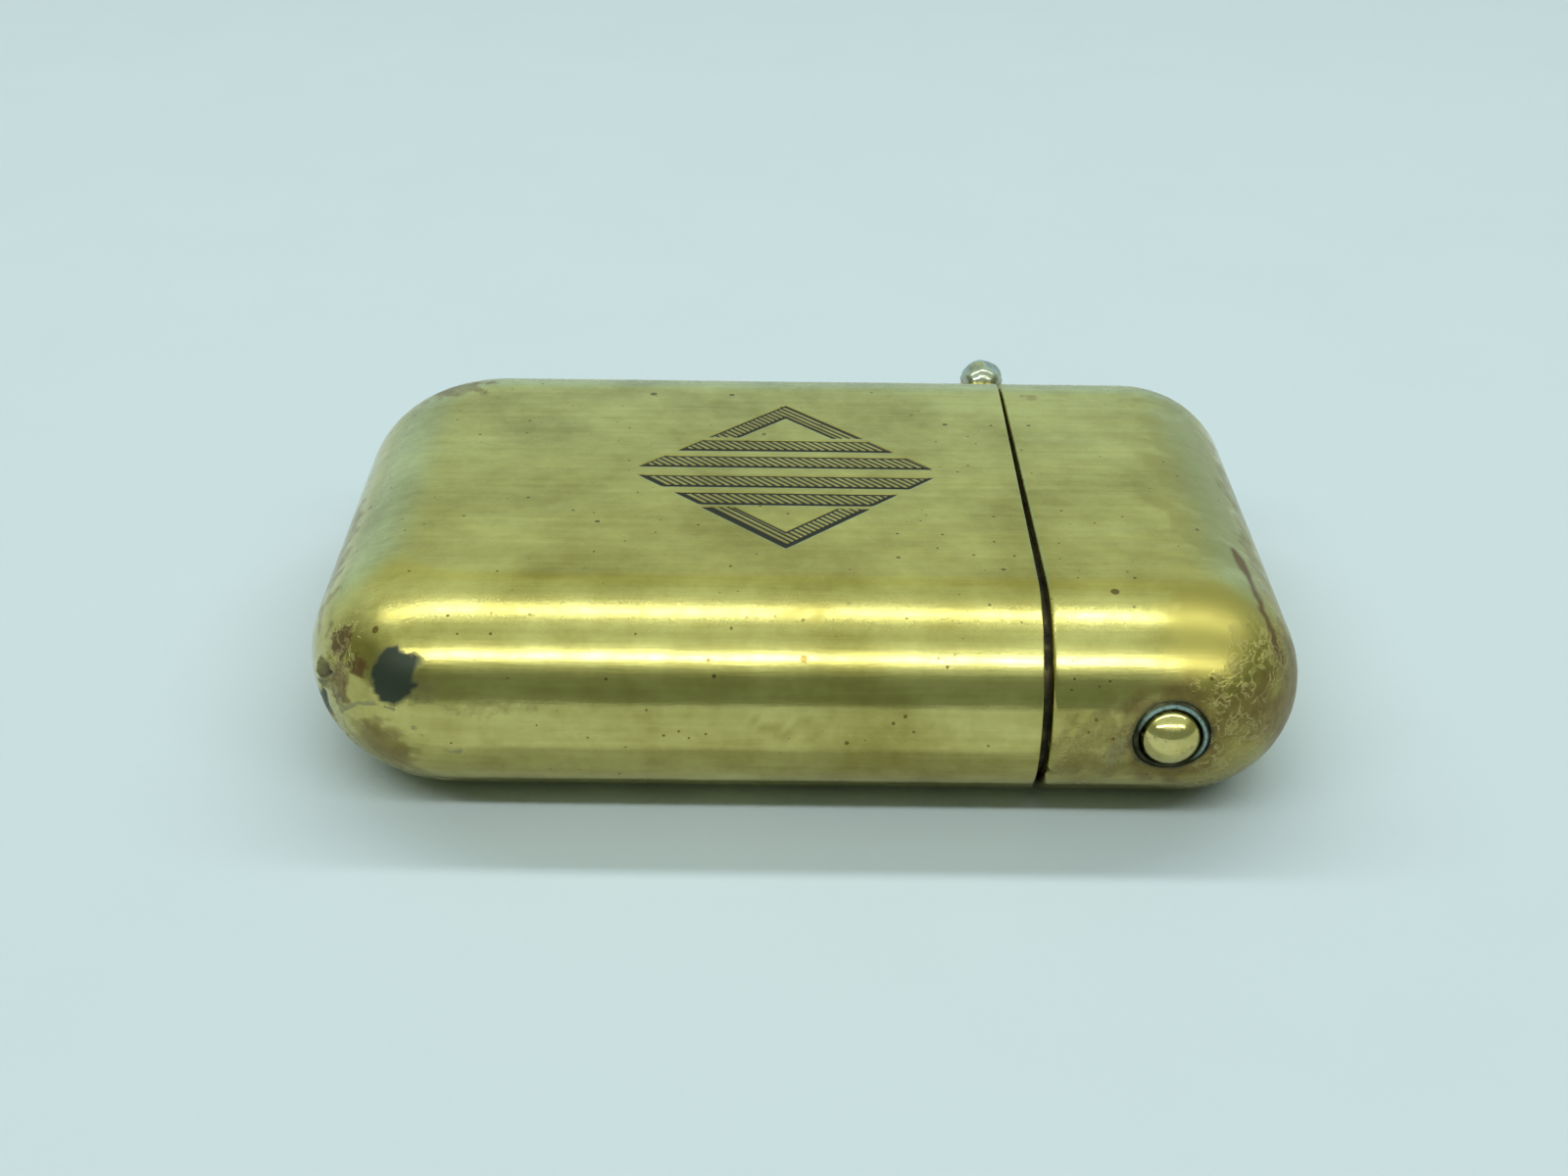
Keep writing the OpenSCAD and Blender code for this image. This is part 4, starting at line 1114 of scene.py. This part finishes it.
def buildPacking():
    # loose cotton: the CAD solid remeshed and pulled in unevenly
    source = bpy.data.objects.new("packingSource", nodes["fuel_wadding"].data.copy())
    scene.collection.objects.link(source)
    remesh = source.modifiers.new("remesh", "REMESH")
    remesh.mode = "VOXEL"
    remesh.voxel_size = 0.00055
    solid = source.evaluated_get(bpy.context.evaluated_depsgraph_get()).to_mesh()
    count = len(solid.vertices)
    place, facing = np.zeros(count * 3), np.zeros(count * 3)
    solid.vertices.foreach_get("co", place)
    solid.vertices.foreach_get("normal", facing)
    place, facing = place.reshape(-1, 3) * 1000, facing.reshape(-1, 3)
    faces = [list(p.vertices) for p in solid.polygons]
    source.to_mesh_clear()
    bpy.data.objects.remove(source)
    pull = 0.06 + 0.09 * (0.5 + 0.5 * waves(place, 1.6, 501)) + 0.05 * (0.5 + 0.5 * waves(place, 0.9, 502))
    return makePiece("cottonWadding", "case", place - facing * pull[:, None], faces, cottonPacking, None,
                     ["fuel_wadding"])


buildPacking()


def buildSnuffer():
    start, end, y, z, radius = alongX("snuffer_cup")
    wall, depth = 0.45, end - start
    profile = [(depth, 0), (depth, radius - 0.35)] + arcStops((depth - 0.35, radius - 0.35), 0.35, 0, 90,
            5)[1:] + [
        (0.08, radius), (0, radius - 0.08), (0, radius - wall + 0.1), (0.1, radius - wall),
        (depth - wall - 0.2, radius - wall), (depth - wall, radius - wall - 0.2), (depth - wall, 0)]
    points, faces = turnedShape(profile, (start, y, z), (1, 0, 0), 72)
    makePiece("snufferCup", "lid", points, [f[::-1] for f in faces], worksBrass, None,
              ["snuffer_cup"])


buildSnuffer()
print("wick, packing and snuffer ready")


buildTube("flintTube", "flint_tube", "case", 0.6, 0.12, worksBrass)


def buildFlint():
    start, end, y, z, radius = alongX("flint")
    profile = [(0, 0), (0, radius - 0.15), (0.15, radius), (end - start - 0.12, radius),
               (end - start, radius - 0.12), (end - start - 0.06, radius * 0.5), (end - start - 0.1, 0)]
    points, faces = turnedShape(profile, (start, y, z), (1, 0, 0), 40)
    points[:, 1:] -= (points[:, 1:] - [y, z]) * (0.02 * (0.5 + 0.5 * waves(points, 0.6, 601)))[:, None]
    makePiece("flintRod", "case", points, faces, ferrocerium, None, ["flint"])


buildFlint()


def buildSpring():
    start, end, y, z, reach = alongX("flint_spring")
    wire, coils, steps, sides = 0.16, 22, 20, 8
    points, faces = [], []
    total = coils * steps
    for i in range(total + 1):
        a = 2 * math.pi * i / steps
        x = start + wire + (end - start - 2 * wire) * i / total
        for k in range(sides):
            b = 2 * math.pi * k / sides
            r = reach - wire + wire * math.cos(b)
            points.append((x + wire * math.sin(b), y + r * math.cos(a), z + r * math.sin(a)))
    for i in range(total):
        for k in range(sides):
            m = (k + 1) % sides
            faces.append([i * sides + k, (i + 1) * sides + k, (i + 1) * sides + m, i * sides + m])
    faces.append(list(range(sides)))
    faces.append([total * sides + k for k in range(sides)][::-1])
    makePiece("flintSpring", "case", points, [f[::-1] for f in faces], springSteel, None,
              ["flint_spring"])


buildSpring()

wheelShape = {"teeth": 40, "toothDepth": 0.22, "crossCuts": 5, "crossDepth": 0.12, "chamfer": 0.25,
              "bore": 0.85, "dish": 0.12}


def buildWheel():
    w = wheelShape
    low, high = boxOf("flint_wheel")
    centre, radius, wide = (low + high) / 2, (high[0] - low[0]) / 2, high[2] - low[2]
    around, across = w["teeth"] * 6, 25
    points, faces = [], []
    # rows: bore, face, toothed rim, face, bore
    section = [(w["bore"], w["dish"]), (w["bore"] + 0.1, w["dish"] - 0.06), (radius * 0.6, w["dish"] - 0.06),
               (radius * 0.66, 0), (radius - w["chamfer"] - 0.25, 0)]
    rim = [(None, wide * j / (across - 1)) for j in range(across)]
    rows = section + rim + [(r, wide - h) for r, h in section[::-1]]
    for r, h in rows:
        for k in range(around):
            a = 2 * math.pi * k / around
            if r is None:
                tooth = abs(((k / 6 + 0.9 * h / wide) % 1) * 2 - 1)
                cross = abs(((h / wide * w["crossCuts"] + 0.5) % 1) * 2 - 1)
                edge = max(0, w["chamfer"] - min(h, wide - h))
                reach = radius - w["toothDepth"] * (1 - tooth) - w["crossDepth"] * max(0,
                        1 - 3 * cross) - edge
            else:
                reach = r
            points.append((centre[0] + reach * math.cos(a), centre[1] + reach * math.sin(a), low[2] + h))
    count = len(rows)
    for j in range(count):
        i = (j + 1) % count
        for k in range(around):
            m = (k + 1) % around
            faces.append([j * around + k, j * around + m, i * around + m, i * around + k])
    makePiece("flintWheel", "flint_wheel", points, faces, wheelSteel, None, ["flint_wheel"])


buildWheel()


def buildAxle():
    low, high = boxOf("wheel_axle")
    centre = (low + high) / 2
    headR, headThick, shaft = (high[0] - low[0]) / 2, 0.4, 0.8
    total = high[2] - low[2]
    dome = [(headThick * 0.75 * (1 - math.cos(a)), headR * math.sin(a)) for a in np.linspace(0, math.pi / 2,
            8)]
    profile = dome + [(headThick, headR), (headThick, shaft), (total - headThick, shaft),
                      (total - headThick, headR)] + [(total - a, r) for a, r in dome[::-1]]
    points, faces = turnedShape(profile, (centre[0], centre[1], low[2]), (0, 0, 1), 40)
    makePiece("wheelAxle", "case", points, faces, springSteel, None, ["wheel_axle"])


buildAxle()


def buildWasher():
    start, end, y, z, radius = alongX("filler_washer")
    points, faces = turnedShape(ringProfile(end - start, radius, 1.45, 0.12), (start, y, z), (1, 0, 0), 48)
    makePiece("fillerWasher", "case", points, faces, oiledLeather, None, ["filler_washer"])


buildWasher()
print("flint gear ready")


# The catch's leaf bends inwards where the button's nib presses it, so it is drawn fine along its length.
leafShape = {"thick": 0.3, "toothLength": 1.1, "toothFlat": 0.33, "stations": 40, "clampedTo": 22.9,
             "pressedFrom": 20.8}


def buildLeaf():
    s = leafShape
    low, high = boxOf("catch_spring")
    front = high[1] - s["thick"]        # the side that faces the button
    foot = low[0] + s["toothLength"]
    outline = [(x, high[1]) for x in np.linspace(high[0], foot, s["stations"])]
    outline += [(low[0], high[1]), (low[0], front), (foot - s["toothFlat"], low[1]), (foot, low[1])]
    outline += [(x, front) for x in np.linspace(foot, high[0], s["stations"])]
    n, m = len(outline), s["stations"]
    points = [(x, y, z) for z in (low[2], high[2]) for x, y in outline]
    faces = [[i, (i + 1) % n, (i + 1) % n + n, i + n] for i in range(n)]
    for k in range(m - 1):
        quad = [k, n - 1 - k, n - 2 - k, k + 1]
        faces += [quad, [i + n for i in quad[::-1]]]
    tooth = list(range(m - 1, m + 5))
    faces += [tooth[::-1], [i + n for i in tooth]]
    leaf = makePiece("catchLeaf", None, points, faces, springSteel, None, ["catch_spring"])
    leaf.data.set_sharp_from_angle(angle=math.radians(35))
    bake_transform(leaf)
    return leaf


catchLeaf = buildLeaf()
print("catch leaf ready")

softEdge = 0.07             # mm broken off the sharp edges of bent and filed pieces
carriedOver = {
    "neck_collar": (tarnishedBrass, "tarnished_neck"),
    "deck_plate": (worksBrass, "inside_brass"),
    "flint_screw": (worksBrass, "inside_brass"),
    "wheel_bracket": (worksBrass, "inside_brass"),
    "filler_screw": (worksBrass, "inside_brass"),
    "body_knuckles": (worksBrass, "aged_brass"),
    "lid_knuckle": (worksBrass, "aged_brass"),
    "lid_spring": (springSteel, "spring_steel"),
    "lid_spring_rivets": (worksBrass, "inside_brass"),
    "catch_block": (worksBrass, "inside_brass"),
    "catch_rivets": (worksBrass, "inside_brass"),
    "snuffer_stem": (worksBrass, "inside_brass"),
}
for name, (material, slotName) in carriedOver.items():
    node = nodes[name]
    node.data.materials.clear()
    node.data.materials.append(material)
    node.data.shade_smooth()
    node.data.set_sharp_from_angle(angle=math.radians(35))
    join = node.modifiers.new("join", "WELD")
    join.merge_threshold = 1e-7
    edges = node.modifiers.new("softEdges", "BEVEL")
    edges.width = softEdge / 1000
    edges.segments = 2
    edges.limit_method = "ANGLE"
    edges.angle_limit = math.radians(40)
print("carried-over pieces ready")


studio = {
    "floor": "#d4dfe0",
    "overhead": (0.64, 0.80, 0.72),     # radiance of each part of the room
    "farLow": (0.54, 0.80, 0.95),
    "farMiddle": (0.60, 0.68, 0.36),
    "sides": (0.26, 0.32, 0.21),
    "behind": (0.23, 0.30, 0.26),
    "ambient": 0.34,                    # share of the room that reaches matt surfaces
    "stripPower": 1.6,                 # the strips are what the polished edge mirrors
    "washPower": 1.9,                  # the washes light the floor and throw the shadow
    "stripWidth": 0.019,
    "washWidth": 0.045,
    "stripLength": 1.1,
    "stripAway": 0.5,
    "stripAim": (-0.0155, 0.011),       # the near edge that the strips look at, y and z
    "stripTilts": (5.5, -43.5),         # degrees from straight up, towards the far side
    "washTilts": (26.5, -25.5),
}


def buildFloor():
    material, tree, mm = startMaterial("paleCard")
    grain = addNode(tree, "ShaderNodeTexNoise",
                    {"Vector": mm, "Scale": 1 / 14.0, "Detail": 3.0}).outputs["Fac"]
    deeper = [c * 0.965 for c in toLinear(studio["floor"])[:3]] + [1]
    colour = addNode(tree, "ShaderNodeMix", {0: grain, 6: toLinear(studio["floor"]), 7: deeper},
                     data_type="RGBA").outputs[2]
    fibre = addNode(tree, "ShaderNodeTexNoise",
                    {"Vector": mm, "Scale": 1 / 0.6, "Detail": 3.0}).outputs["Fac"]
    height = addNode(tree, "ShaderNodeMath", {0: fibre, 1: 0.00002}, operation="MULTIPLY").outputs[0]
    bump = addNode(tree, "ShaderNodeBump", {"Height": height, "Strength": 1.0, "Distance": 1.0}).outputs[0]
    shader = addNode(tree, "ShaderNodeBsdfPrincipled",
                     {"Base Color": colour, "Roughness": 0.7, "Normal": bump, "Specular IOR Level": 0.2})
    endMaterial(tree, shader)
    mesh = bpy.data.meshes.new("floor")
    mesh.from_pydata([(-3, -3, 0), (3, -3, 0), (3, 3, 0), (-3, 3, 0)], [], [(0, 1, 2, 3)])
    mesh.materials.append(material)
    floor = bpy.data.objects.new("floor", mesh)
    scene.collection.objects.link(floor)
    return floor


def buildSky():
    # pale room: cool low down at the back, warmer above that, dark low down behind the camera
    world = bpy.data.worlds.new("studio")
    scene.world = world
    world.use_nodes = True
    tree = world.node_tree
    tree.nodes.clear()
    heading = addNode(tree, "ShaderNodeTexCoord").outputs["Generated"]
    parts = addNode(tree, "ShaderNodeSeparateXYZ", {0: heading})
    up, away = parts.outputs[2], parts.outputs[1]

    def step(value, start, end):
        return addNode(tree, "ShaderNodeMapRange", {"Value": value, 1: start, 2: end},
                       interpolation_type="SMOOTHSTEP").outputs[0]

    def both(a, b):
        return addNode(tree, "ShaderNodeMath", {0: a, 1: b}, operation="MULTIPLY").outputs[0]

    farSide = step(away, 0.45, 0.75)
    sides = both(step(away, 0.6, 0.1), step(up, 0.62, 0.35))
    farMiddle = both(farSide, both(step(up, 0.42, 0.5), step(up, 0.8, 0.62)))
    farLow = both(farSide, step(up, 0.5, 0.4))
    behind = both(both(step(away, -0.1, -0.4), step(up, 0.62, 0.44)), step(up, -0.1, 0.0))
    colour = (*studio["overhead"], 1)
    for mask, part in ((sides, "sides"), (farMiddle, "farMiddle"), (farLow, "farLow"), (behind, "behind")):
        colour = addNode(tree, "ShaderNodeMix", {0: mask, 6: colour, 7: (*studio[part], 1)},
                         data_type="RGBA").outputs[2]
    matt = addNode(tree, "ShaderNodeLightPath").outputs["Is Diffuse Ray"]
    strength = addNode(tree, "ShaderNodeMapRange", {"Value": matt, 3: 1.0, 4: studio["ambient"]}).outputs[0]
    background = addNode(tree, "ShaderNodeBackground", {"Color": colour, "Strength": strength})
    addNode(tree, "ShaderNodeOutputWorld", {"Surface": background.outputs[0]})


def buildStrip(name, tiltDeg, power, mirrored):
    # a long soft strip along X over the near edge; one kind is only mirrored, the other only lights matt things
    light = bpy.data.lights.new(name, "AREA")
    light.shape = "RECTANGLE"
    light.size, light.size_y = studio["stripLength"], studio["stripWidth" if mirrored else "washWidth"]
    light.energy = power
    light.color = toLinear("#f4fdff" if mirrored else "#eef6fb")[:3]
    strip = bpy.data.objects.new(name, light)
    tilt = math.radians(tiltDeg)
    away = studio["stripAway"]
    aimY, aimZ = studio["stripAim"]
    strip.location = (0, away * math.sin(tilt) + aimY, away * math.cos(tilt) + aimZ)
    strip.rotation_euler = (-tilt, 0, 0)
    strip.visible_diffuse = not mirrored
    strip.visible_glossy = mirrored
    scene.collection.objects.link(strip)


buildFloor()
buildSky()
for stripName, tilt in zip(("stripOverhead", "stripBehind"), studio["stripTilts"]):
    buildStrip(stripName, tilt, studio["stripPower"], True)
for stripName, tilt in zip(("washFar", "washNear"), studio["washTilts"]):
    buildStrip(stripName, tilt, studio["washPower"], False)
scene.view_settings.view_transform = "Standard"
print("floor and light ready")
